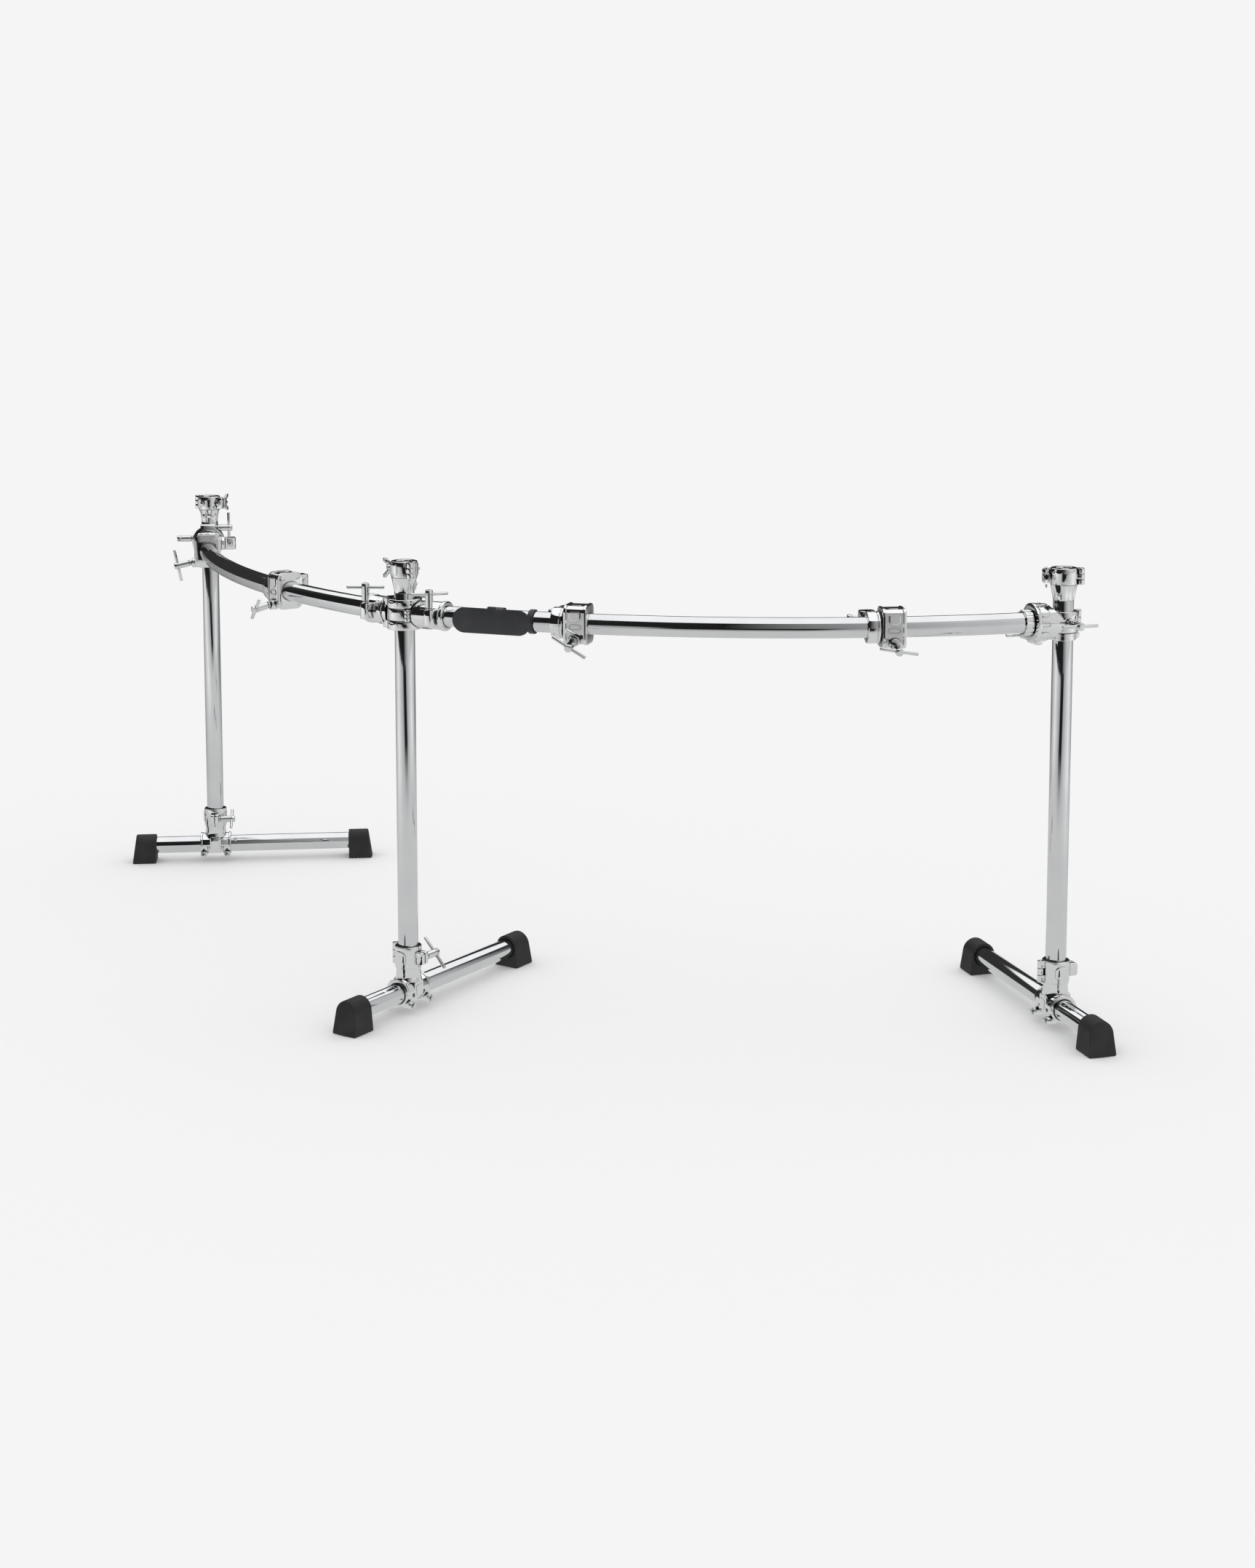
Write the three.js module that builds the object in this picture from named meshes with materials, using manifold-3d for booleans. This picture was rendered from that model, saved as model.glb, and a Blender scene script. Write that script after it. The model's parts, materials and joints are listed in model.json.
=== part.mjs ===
// Curved two-bar drum rack: three legs, two curved bars, clamps, sockets and feet.
// Millimetres, +Z up, the drummer sits on the +Y side, the outside of the curve faces -Y.
import * as THREE from 'three';
import { mergeVertices } from 'three/addons/utils/BufferGeometryUtils.js';
import Module from 'manifold-3d';

const wasm = await Module();
wasm.setup();

// Driving dimensions of the tubes and of the whole rack
const TUBE_RADIUS = 19.05;
const TUBE_WALL = 1.6;
const BAR_LENGTH = 1168.4;
const BAR_RADIUS = 1600;
const BAR_HEIGHT = 765;
const BAR_END_REACH = 42;
const CHORD_ANGLE = 29.4;
const POST_RISE = 39;
const POST_TOP = BAR_HEIGHT + POST_RISE;
const POST_BOTTOM = 66;
const FOOT_AXIS_HEIGHT = 38;
const FOOT_TUBE_LENGTH = 525;
const FOOT_TUBE_SHORT_SIDE = 176;

// Clearances, gaps and overruns
const SEAT_GAP = 0.3;
const SPLIT_GAP = 1.6;
const PIN_PLAY = 0.35;
const BOLT_PLAY = 0.4;
const LOOSE_BOLT_PLAY = 1.1;
const OVERRUN = 2;
const SINK = 0.5;
const TIP_GAP = 1;
const WELD = 1e-4;

// Facets round each kind of round shape
const TUBE_SIDES = 18;
const BORE_SIDES = 18;
const BODY_SIDES = 12;
const BARREL_SIDES = 16;
const BOLT_SIDES = 8;
const HANDLE_SIDES = 6;
const BAR_SIDES = 16;
const BAR_BORE_SIDES = 6;
const BAR_STEPS = 20;
const GRIP_STEPS = 2;
const ARC_SEGMENTS = 2;
const PLATE_ARC_SEGMENTS = 5;
const HEX_SIDES = 6;

// Rubber end foot, stood on z = 0, its socket open towards the leg
const RUBBER = {
  height: 64,
  topHalfWidth: 24,
  baseHalfWidth: 27.5,
  shoulderHeight: 40,
  length: 56,
  slant: 10,
  endWall: 18,
  archSteps: 10,
};

// T-bolt: barrel with a cross handle, and a threaded shank
const T_BOLT = {
  shankRadius: 3.9,
  barrelRadius: 7.2,
  barrelLength: 34,
  neckRadius: 5.4,
  neckLength: 4,
  handleRadius: 3.2,
  handleLength: 71,
  handleInset: 8,
};

// Clamp at the foot of a post: hinged collar above, saddle and strap on the foot bar
const FOOT_CLAMP = {
  collarRadius: 25.5,
  collarBottom: 84,
  collarTop: 125,
  neckRadius: 24.5,
  lugReach: 41,
  lugHalfThickness: 9,
  lugHalfHeight: 12,
  boltOffset: 33,
  hingeOffset: 31,
  hingeRadius: 6,
  pinRadius: 2.5,
  padHalfWidth: 13,
  padHalfHeight: 13,
  padProud: 2.2,
  saddleRadius: 26,
  saddleLength: 70,
  strapWidth: 16,
  strapRadius: 25,
  strapWebRadius: 22.5,
  strapLugRadius: 7.5,
  strapLugReach: 32,
  strapLugInner: 10,
  strapLugHeight: 18.5,
  strapHeadRadius: 5.6,
  strapHeadLength: 5,
};

// Rod clamp on top of a post: tapered base, split socket, wing screw
const ROD_CLAMP = {
  plugRadius: 17,
  plugLength: 25,
  coneBottomRadius: 18.6,
  coneTopRadius: 24.2,
  coneHeight: 29,
  blockHeight: 60,
  blockRadius: 25,
  socketRadius: 15,
  socketFloor: 16,
  lugReach: 40,
  lugHalfThickness: 9,
  lugHalfHeight: 13,
  boltOffset: 31.5,
  hingeOffset: 30.5,
  hingeRadius: 6.5,
  pinRadius: 2.6,
  ribHalfWidth: 5,
  ribProud: 3,
  ribTop: 26,
};

// Wing screw of a rod clamp
const WING = {
  shankRadius: 3.9,
  hubRadius: 6.5,
  hubLength: 13,
  wingSpan: 19,
  wingThickness: 4,
  wingStart: 3,
  wingRise: 11,
  wingTip: 21,
  wingTopShare: 0.68,
};

// End clamp between a bar end and a post
const END_CLAMP = {
  barrelRadius: 34,
  innerBarrelRadius: 26,
  flangeProud: 1.8,
  flangeLength: 8,
  outerGrip: 24,
  innerGrip: 50,
  reliefRadius: 36,
  ringRadius: 26,
  ringHeight: 39,
  neckInner: 15,
  neckHalfWidth: 20,
  innerRingRadius: 33,
  innerRingHeight: 22,
  forkRingHeight: 17.5,
  ringGap: 0.5,
  gateStartAngle: 3,
  gateEndAngle: 164,
  hingeRadius: 5.5,
  hingeOffset: 30.5,
  pinRadius: 2.3,
  innerGateStart: 56,
  innerGateEnd: 128,
  innerHingeOffset: 35,
  bossRadius: 8,
  bossReach: 36,
  boltBackOff: 1.2,
  outerBoltAngle: 90,
  middleBoltAngle: 127,
  forkBoltAngle: 130,
  lugHalfLength: 9,
  lugHalfWidth: 17,
  lugDrop: 40,
  lugTop: 22,
  barBoltDrop: 31,
  barBoltBack: 56,
  innerLugReach: 42,
  innerLugInner: 16,
  innerLugHalfHeight: 15,
  innerBoltReach: 33,
  innerBoltBack: 72,
  padHalfWidth: 11,
  padProud: 1.6,
};

// Memory lock rings fixed on the bars and the posts
const LOCK_RING = {
  radius: 24,
  barWidth: 16,
  barGap: 1,
  postHeight: 14,
  postGap: 0.6,
  lugReach: 31,
  lugHalfWidth: 6,
};

// Accessory clamp that slides along a curved bar
const ACCESSORY = {
  halfWidth: 21.5,
  shift: 13,
  front: 29,
  back: 27,
  halfHeight: 36.5,
  cornerRadius: 13,
  ringRadius: 29,
  ringWidth: 23,
  ringGap: 2.5,
  ringNeckRadius: 25,
  bossRadius: 15,
  bossReach: 31,
  boltDrop: 27,
  boltTilt: 12,
  boltHoleDepth: 22,
  lipRadius: 10.5,
  lipReach: 35,
};

// Rod holder that swivels on the back of an accessory clamp
const HOLDER = {
  studRadius: 4.5,
  studLength: 4,
  discRadius: 14.5,
  discThickness: 8,
  blockHalfWidth: 15,
  blockHalfHeight: 13,
  blockDepth: 24,
  boreRadius: 6.5,
  rise: 10,
  screwRadius: 4,
  screwLength: 12,
  knobRadius: 6.5,
  knobLength: 9,
};

// Blank plate on the right bar, with its clip
const PLATE = {
  length: 155,
  height: 47,
  thickness: 4,
  stand: 5,
  clipRadius: 22.6,
  clipHalfWidth: 16,
  clipMouth: 9,
  padHalfWidth: 12,
  padHalfHeight: 9,
};

// Places along the bars: the plate and the nearer clamps from the inner end, the others from the far end
const PLATE_PLACE = 150;
const RIGHT_NEAR_CLAMP = 296;
const RIGHT_FAR_CLAMP = 301.4;
const LEFT_NEAR_CLAMP = 365;
const LEFT_FAR_CLAMP = 155.4;
const RIGHT_CLAMP_PLACES = [RIGHT_NEAR_CLAMP, BAR_LENGTH - RIGHT_FAR_CLAMP];
const LEFT_CLAMP_PLACES = [LEFT_NEAR_CLAMP, BAR_LENGTH - LEFT_FAR_CLAMP];

// Turns of the handles, in degrees
const ACCESSORY_HANDLE_TURNS = [-33, -10, 40, 90];
const BAR_HANDLE_TURN = 42;
const END_HANDLE_TURNS = { right: 0, left: 90 };
const FOOT_HANDLE_TURNS = { middle: 48, right: 48, left: 22 };
const ROD_CLAMP_TURNS = { middle: 150, right: 203.5, left: 10 };

// Colours and finishes
const CHROME = { color: 0xd9dcde, roughness: 0.12, metalness: 1 };
const CAST_CHROME = { color: 0xdcdee0, roughness: 0.2, metalness: 1 };
const SCREW_CHROME = { color: 0xc9ccd0, roughness: 0.18, metalness: 1 };
const BLACK_RUBBER = { color: 0x1b1b1c, roughness: 0.75, metalness: 0 };
const BLACK_PLASTIC = { color: 0x1d1e20, roughness: 0.45, metalness: 0 };

const radians = THREE.MathUtils.degToRad;
const QUARTER_TURN = Math.PI / 2;
const BAR_SWEEP = BAR_LENGTH / BAR_RADIUS;
const LEAVE_ANGLE = radians(CHORD_ANGLE) - BAR_SWEEP / 2;
const ARRIVE_ANGLE = LEAVE_ANGLE + BAR_SWEEP;
const BORE_RADIUS = TUBE_RADIUS + SEAT_GAP;

// A cylinder along Z between two heights
function cylinder(radius, from, to, sides = BODY_SIDES) {
  const shape = new THREE.CylinderGeometry(radius, radius, to - from, sides);
  return shape.rotateX(QUARTER_TURN).translate(0, 0, (from + to) / 2);
}

// A cone frustum along Z between two heights
function cone(fromRadius, from, toRadius, to, sides = BODY_SIDES) {
  const shape = new THREE.CylinderGeometry(toRadius, fromRadius, to - from, sides);
  return shape.rotateX(QUARTER_TURN).translate(0, 0, (from + to) / 2);
}

// A cylinder along X, centred on a line through (y, z)
function cylinderX(radius, from, to, y, z, sides = BODY_SIDES) {
  return cylinder(radius, from, to, sides).rotateY(QUARTER_TURN).translate(0, y, z);
}

// A cylinder along Y, centred on a line through (x, z)
function cylinderY(radius, from, to, x, z, sides = BODY_SIDES) {
  return cylinder(radius, -to, -from, sides).rotateX(QUARTER_TURN).translate(x, 0, z);
}

function box(x0, x1, y0, y1, z0, z1) {
  const shape = new THREE.BoxGeometry(Math.abs(x1 - x0), Math.abs(y1 - y0), Math.abs(z1 - z0));
  return shape.translate((x0 + x1) / 2, (y0 + y1) / 2, (z0 + z1) / 2);
}

// A flat outline carried along Z between two heights
function slab(outline, from, to, curveSegments = ARC_SEGMENTS) {
  const depth = to - from;
  const shape = new THREE.ExtrudeGeometry(outline, { depth, bevelEnabled: false, curveSegments });
  return shape.translate(0, 0, from);
}

// A pie slice outline from the axis to a radius, between two angles in degrees
function sliceOutline(radius, fromAngle, toAngle) {
  const outline = new THREE.Shape();
  outline.moveTo(0, 0);
  outline.lineTo(radius * Math.cos(radians(fromAngle)), radius * Math.sin(radians(fromAngle)));
  outline.absarc(0, 0, radius, radians(fromAngle), radians(toAngle), false);
  outline.closePath();
  return outline;
}

function roundedRect(halfWidth, low, high, corner) {
  const outline = new THREE.Shape();
  outline.moveTo(halfWidth, low + corner);
  outline.lineTo(halfWidth, high - corner);
  outline.absarc(halfWidth - corner, high - corner, corner, 0, QUARTER_TURN, false);
  outline.absarc(corner - halfWidth, high - corner, corner, QUARTER_TURN, Math.PI, false);
  outline.absarc(corner - halfWidth, low + corner, corner, Math.PI, -QUARTER_TURN, false);
  outline.absarc(halfWidth - corner, low + corner, corner, -QUARTER_TURN, 0, false);
  return outline;
}

// Closed mesh to solid and back
function solid(geometry) {
  const bare = geometry.clone();
  bare.deleteAttribute('normal');
  bare.deleteAttribute('uv');
  const merged = mergeVertices(bare, WELD);
  const vertProperties = new Float32Array(merged.attributes.position.array);
  const triVerts = new Uint32Array(merged.index.array);
  return new wasm.Manifold(new wasm.Mesh({ numProp: 3, vertProperties, triVerts }));
}

function join(...geometries) {
  return geometries.map(solid).reduce((whole, piece) => whole.add(piece));
}

function cut(whole, ...geometries) {
  return geometries.map(solid).reduce((rest, piece) => rest.subtract(piece), whole);
}

function geometryOf(whole) {
  const mesh = whole.getMesh();
  const geometry = new THREE.BufferGeometry();
  geometry.setAttribute('position', new THREE.BufferAttribute(mesh.vertProperties.slice(), 3));
  geometry.setIndex(new THREE.BufferAttribute(mesh.triVerts.slice(), 1));
  geometry.computeVertexNormals();
  return geometry;
}

function piece(name, whole, finish) {
  const mesh = new THREE.Mesh(geometryOf(whole), new THREE.MeshStandardMaterial(finish));
  mesh.name = name;
  return mesh;
}

// A straight open tube along Z
function pipe(from, to) {
  const outer = solid(cylinder(TUBE_RADIUS, from, to, TUBE_SIDES));
  return cut(outer, cylinder(TUBE_RADIUS - TUBE_WALL, from - OVERRUN, to + OVERRUN, TUBE_SIDES));
}

// An arc of a bar's own bend, tangent to X at the origin, its centre on the side of bend, -1 or 1
class BarArc extends THREE.Curve {
  constructor(from, to, bend) {
    super();
    this.from = from;
    this.to = to;
    this.bend = bend;
  }

  getPoint(t, target = new THREE.Vector3()) {
    const angle = (this.from + (this.to - this.from) * t) / BAR_RADIUS;
    return target.set(BAR_RADIUS * Math.sin(angle), this.bend * BAR_RADIUS * (1 - Math.cos(angle)), 0);
  }
}

function circleOutline(radius, sides) {
  const outline = new THREE.Shape();
  for (let i = 0; i < sides; i++) {
    const angle = Math.PI * 2 * (i + 0.5) / sides;
    const x = radius * Math.cos(angle);
    const y = radius * Math.sin(angle);
    if (i === 0) outline.moveTo(x, y);
    else outline.lineTo(x, y);
  }
  outline.closePath();
  return outline;
}

function sweep(radius, from, to, steps, bend, sides = BAR_SIDES) {
  const options = { steps, extrudePath: new BarArc(from, to, bend), bevelEnabled: false };
  return new THREE.ExtrudeGeometry(circleOutline(radius, sides), options);
}

// Bore of an end clamp for the bent bar, which ends a reach before the post
function barBore(grip, bend) {
  return sweep(BORE_RADIUS, -grip - OVERRUN, SEAT_GAP, GRIP_STEPS, bend).translate(-BAR_END_REACH, 0, 0);
}

// Radius of a faceted hole in which a faceted knuckle turns freely
function turningRadius(radius) {
  return (radius + SEAT_GAP) / Math.cos(Math.PI / BOLT_SIDES);
}

// Heights where a hinge's middle knuckle starts and ends
function knuckleHeights(low, high) {
  const third = (high - low) / 3;
  return [low + third, high - third];
}

// Split collar: a fixed half on -Y and a gate on +Y, hinged on a pin at -X, bolted at +X
function collarHalves(size, boreRadius, outerRadius, low, high) {
  const middle = (low + high) / 2;
  const [lowJoint, highJoint] = knuckleHeights(low, high);
  const halfGap = SPLIT_GAP / 2;
  const far = size.lugReach + OVERRUN;
  const ring = () => join(
    cylinder(outerRadius, low, high),
    box(boreRadius, size.lugReach, -size.lugHalfThickness, size.lugHalfThickness,
      middle - size.lugHalfHeight, middle + size.lugHalfHeight),
    box(-size.hingeOffset, -boreRadius, -size.hingeRadius, size.hingeRadius, low, high),
  );
  const bore = cylinder(boreRadius, low - OVERRUN, high + OVERRUN, BORE_SIDES);
  const knuckle = (radius, from, to) =>
    cylinder(radius, from, to, BOLT_SIDES).translate(-size.hingeOffset, 0, 0);
  const boltHole = (radius) =>
    cylinderY(radius, -far, far, size.boltOffset, middle, BOLT_SIDES);
  const keepFront = box(-far, far, -halfGap, far, low - OVERRUN, high + OVERRUN);
  const keepBack = box(-far, far, -far, halfGap, low - OVERRUN, high + OVERRUN);
  const clear = turningRadius(size.hingeRadius);
  const shaft = size.pinRadius;

  const fixed = cut(ring(), bore, boltHole(size.shankRadius + LOOSE_BOLT_PLAY), keepFront,
    knuckle(clear, lowJoint - SEAT_GAP, highJoint + SEAT_GAP))
    .add(solid(knuckle(size.hingeRadius, low, lowJoint)))
    .add(solid(knuckle(size.hingeRadius, highJoint, high)))
    .add(solid(knuckle(shaft, low, high)));
  const gate = cut(ring(), bore, boltHole(size.shankRadius + BOLT_PLAY), keepBack,
    knuckle(clear, low - OVERRUN, lowJoint + SEAT_GAP),
    knuckle(clear, highJoint - SEAT_GAP, high + OVERRUN))
    .add(solid(knuckle(size.hingeRadius, lowJoint + SEAT_GAP, highJoint - SEAT_GAP)))
    .subtract(solid(knuckle(shaft + PIN_PLAY, low - OVERRUN, high + OVERRUN)));
  return { fixed, gate };
}

// T-bolt along +Z: bearing face at z = 0, shank below it, cross handle along X
function tBolt(shankLength) {
  const top = T_BOLT.neckLength + T_BOLT.barrelLength;
  const handleHeight = top - T_BOLT.handleInset;
  const half = T_BOLT.handleLength / 2;
  return join(
    cylinder(T_BOLT.shankRadius, -shankLength, SINK, BOLT_SIDES),
    cone(T_BOLT.neckRadius, 0, T_BOLT.barrelRadius, T_BOLT.neckLength, BOLT_SIDES),
    cylinder(T_BOLT.barrelRadius, T_BOLT.neckLength - SINK, top, BOLT_SIDES),
    cylinderX(T_BOLT.handleRadius, -half, half, 0, handleHeight, HANDLE_SIDES),
  );
}

// Wing screw along +Z: shank below z = 0, hub and two raised wings above
function wingScrew(shankLength) {
  const wing = new THREE.Shape();
  wing.moveTo(0, WING.wingStart);
  wing.lineTo(WING.hubRadius, WING.wingStart);
  wing.lineTo(WING.wingSpan, WING.wingStart + WING.wingRise);
  wing.lineTo(WING.wingSpan, WING.wingTip);
  wing.lineTo(WING.wingSpan * WING.wingTopShare, WING.wingTip);
  wing.lineTo(0, WING.hubLength);
  wing.closePath();
  const blade = () => slab(wing, -WING.wingThickness / 2, WING.wingThickness / 2).rotateX(QUARTER_TURN);
  return join(
    cylinder(WING.shankRadius, -shankLength, SINK, BOLT_SIDES),
    cylinder(WING.hubRadius, 0, WING.hubLength, BOLT_SIDES),
    blade(),
    blade().rotateZ(Math.PI),
  );
}

// Rubber foot: an arched block whose outer face leans in, with a blind socket
function rubberFoot() {
  const outline = new THREE.Shape();
  outline.moveTo(-RUBBER.baseHalfWidth, 0);
  outline.lineTo(RUBBER.baseHalfWidth, 0);
  outline.lineTo(RUBBER.topHalfWidth, RUBBER.shoulderHeight);
  for (let step = 1; step < RUBBER.archSteps; step++) {
    const angle = Math.PI * step / RUBBER.archSteps;
    outline.lineTo(RUBBER.topHalfWidth * Math.cos(angle),
      RUBBER.shoulderHeight + (RUBBER.height - RUBBER.shoulderHeight) * Math.sin(angle));
  }
  outline.lineTo(-RUBBER.topHalfWidth, RUBBER.shoulderHeight);
  outline.closePath();
  const block = slab(outline, 0, RUBBER.length);
  const place = block.attributes.position;
  for (let i = 0; i < place.count; i++) {
    const lean = RUBBER.slant * place.getY(i) / RUBBER.height;
    if (place.getZ(i) > RUBBER.length / 2) place.setZ(i, place.getZ(i) - lean);
  }
  block.rotateX(QUARTER_TURN);
  const socketDepth = RUBBER.length - RUBBER.endWall;
  return cut(solid(block),
    cylinderY(BORE_RADIUS, -socketDepth, OVERRUN, 0, FOOT_AXIS_HEIGHT, BORE_SIDES));
}

// D-shaped raised pad on the front of a collar
function frontPad(halfWidth, halfHeight, front, middle) {
  const outline = new THREE.Shape();
  outline.moveTo(-halfWidth, -halfHeight);
  outline.lineTo(0, -halfHeight);
  outline.absellipse(0, 0, halfWidth, halfHeight, -QUARTER_TURN, QUARTER_TURN, false);
  outline.lineTo(-halfWidth, halfHeight);
  outline.closePath();
  return slab(outline, 0, front).rotateX(QUARTER_TURN).translate(0, 0, middle);
}

// Foot clamp in the leg's frame: post on Z, foot bar along Y
function footClampParts() {
  const size = { ...FOOT_CLAMP, shankRadius: T_BOLT.shankRadius };
  const low = FOOT_CLAMP.collarBottom;
  const high = FOOT_CLAMP.collarTop;
  const middle = (low + high) / 2;
  const halfSaddle = FOOT_CLAMP.saddleLength / 2;
  const axis = FOOT_AXIS_HEIGHT;
  const { fixed, gate } = collarHalves(size, BORE_RADIUS, FOOT_CLAMP.collarRadius, low + SEAT_GAP, high);
  const below = -FOOT_CLAMP.saddleRadius - OVERRUN;
  const lowerHalf = (clear) => box(-axis * 2, axis * 2, -halfSaddle * 2, halfSaddle * 2, below, axis + clear);
  const lugEnd = FOOT_CLAMP.strapLugReach;
  const base = cut(
    join(
      cylinder(FOOT_CLAMP.neckRadius, axis, low, BODY_SIDES),
      cylinderY(FOOT_CLAMP.saddleRadius, -halfSaddle, halfSaddle, 0, axis),
      box(-FOOT_CLAMP.padHalfWidth * 2, FOOT_CLAMP.padHalfWidth * 2, -FOOT_CLAMP.padHalfWidth,
        FOOT_CLAMP.padHalfWidth, axis, axis + FOOT_CLAMP.padHalfHeight),
    ),
    lowerHalf(SEAT_GAP),
  );
  const pad = cut(
    solid(frontPad(FOOT_CLAMP.padHalfWidth, FOOT_CLAMP.padHalfHeight,
      FOOT_CLAMP.collarRadius + FOOT_CLAMP.padProud, middle)),
    cylinder(FOOT_CLAMP.collarRadius - OVERRUN, low, high),
  );
  const riser = box(-FOOT_CLAMP.padHalfWidth, FOOT_CLAMP.padHalfWidth, -FOOT_CLAMP.neckRadius,
    -SPLIT_GAP, low - OVERRUN, low + OVERRUN);
  const body = cut(
    fixed.add(base).add(pad).add(solid(riser)),
    cylinder(BORE_RADIUS, POST_BOTTOM - SEAT_GAP, high + OVERRUN, BORE_SIDES),
    cylinderY(BORE_RADIUS, -halfSaddle - OVERRUN, halfSaddle + OVERRUN, 0, axis, BORE_SIDES),
  );

  const bandMiddle = halfSaddle - FOOT_CLAMP.strapWidth / 2;
  const pieces = [cylinderY(FOOT_CLAMP.strapWebRadius, -bandMiddle, bandMiddle, 0, axis)];
  for (const side of [-1, 1]) {
    const y = side * bandMiddle;
    const halfBand = FOOT_CLAMP.strapWidth / 2;
    pieces.push(cylinderY(FOOT_CLAMP.strapRadius, y - halfBand, y + halfBand, 0, axis));
    for (const hand of [-1, 1]) {
      const inner = FOOT_CLAMP.strapLugInner;
      const reach = hand < 0 ? [-lugEnd, -inner] : [inner, lugEnd];
      const headFar = lugEnd + FOOT_CLAMP.strapHeadLength;
      const head = hand < 0 ? [-headFar, SINK - lugEnd] : [lugEnd - SINK, headFar];
      pieces.push(cylinderX(FOOT_CLAMP.strapLugRadius, ...reach, y, FOOT_CLAMP.strapLugHeight, BOLT_SIDES));
      pieces.push(cylinderX(FOOT_CLAMP.strapHeadRadius, ...head, y, FOOT_CLAMP.strapLugHeight, HEX_SIDES));
    }
  }
  const upperHalf = box(-axis * 2, axis * 2, -halfSaddle * 2, halfSaddle * 2, axis - SEAT_GAP, axis * 3);
  const strap = cut(join(...pieces), upperHalf,
    cylinderY(BORE_RADIUS, -halfSaddle - OVERRUN, halfSaddle + OVERRUN, 0, axis, BORE_SIDES));
  return { body, gate, strap };
}

// Rod clamp in its own frame: z = 0 on the top of the post
function rodClampParts() {
  const size = { ...ROD_CLAMP, shankRadius: WING.shankRadius };
  const low = ROD_CLAMP.coneHeight;
  const high = ROD_CLAMP.blockHeight;
  const { fixed, gate } = collarHalves(size, ROD_CLAMP.socketRadius, ROD_CLAMP.blockRadius,
    low + SEAT_GAP, high);
  const rib = box(-ROD_CLAMP.ribHalfWidth, ROD_CLAMP.ribHalfWidth,
    -ROD_CLAMP.coneBottomRadius - ROD_CLAMP.ribProud, 0, 0, ROD_CLAMP.ribTop);
  const bridge = box(-ROD_CLAMP.coneBottomRadius, ROD_CLAMP.coneBottomRadius,
    -ROD_CLAMP.coneBottomRadius, -SPLIT_GAP, low - OVERRUN, low + OVERRUN);
  const body = fixed
    .add(solid(cylinder(ROD_CLAMP.plugRadius, -ROD_CLAMP.plugLength, SINK)))
    .add(solid(cone(ROD_CLAMP.coneBottomRadius, SEAT_GAP, ROD_CLAMP.coneTopRadius, low)))
    .add(solid(rib))
    .add(solid(bridge));
  return {
    body: cut(body, cylinder(ROD_CLAMP.socketRadius, ROD_CLAMP.socketFloor, high + OVERRUN, BORE_SIDES)),
    gate,
  };
}

// Gate cut out of a post ring: hinged on a pin, swinging out
function gateShapes(ringRadius, startAngle, endAngle, pinAngle, hingeOffset, half) {
  const low = -half;
  const high = half;
  const [lowJoint, highJoint] = knuckleHeights(low, high);
  const pin = new THREE.Vector2(hingeOffset, 0).rotateAround(new THREE.Vector2(), radians(pinAngle));
  const knuckle = (radius, from, to) => cylinder(radius, from, to, BOLT_SIDES).translate(pin.x, pin.y, 0);
  const strap = (from, to) => box(ringRadius - OVERRUN * 2, hingeOffset, -END_CLAMP.hingeRadius,
    END_CLAMP.hingeRadius, from, to).rotateZ(radians(pinAngle));
  const slice = (grow) => slab(sliceOutline(hingeOffset * 2, startAngle - grow, endAngle + grow),
    low - OVERRUN, high + OVERRUN);
  return { lowJoint, highJoint, knuckle, strap, slice };
}

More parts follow.
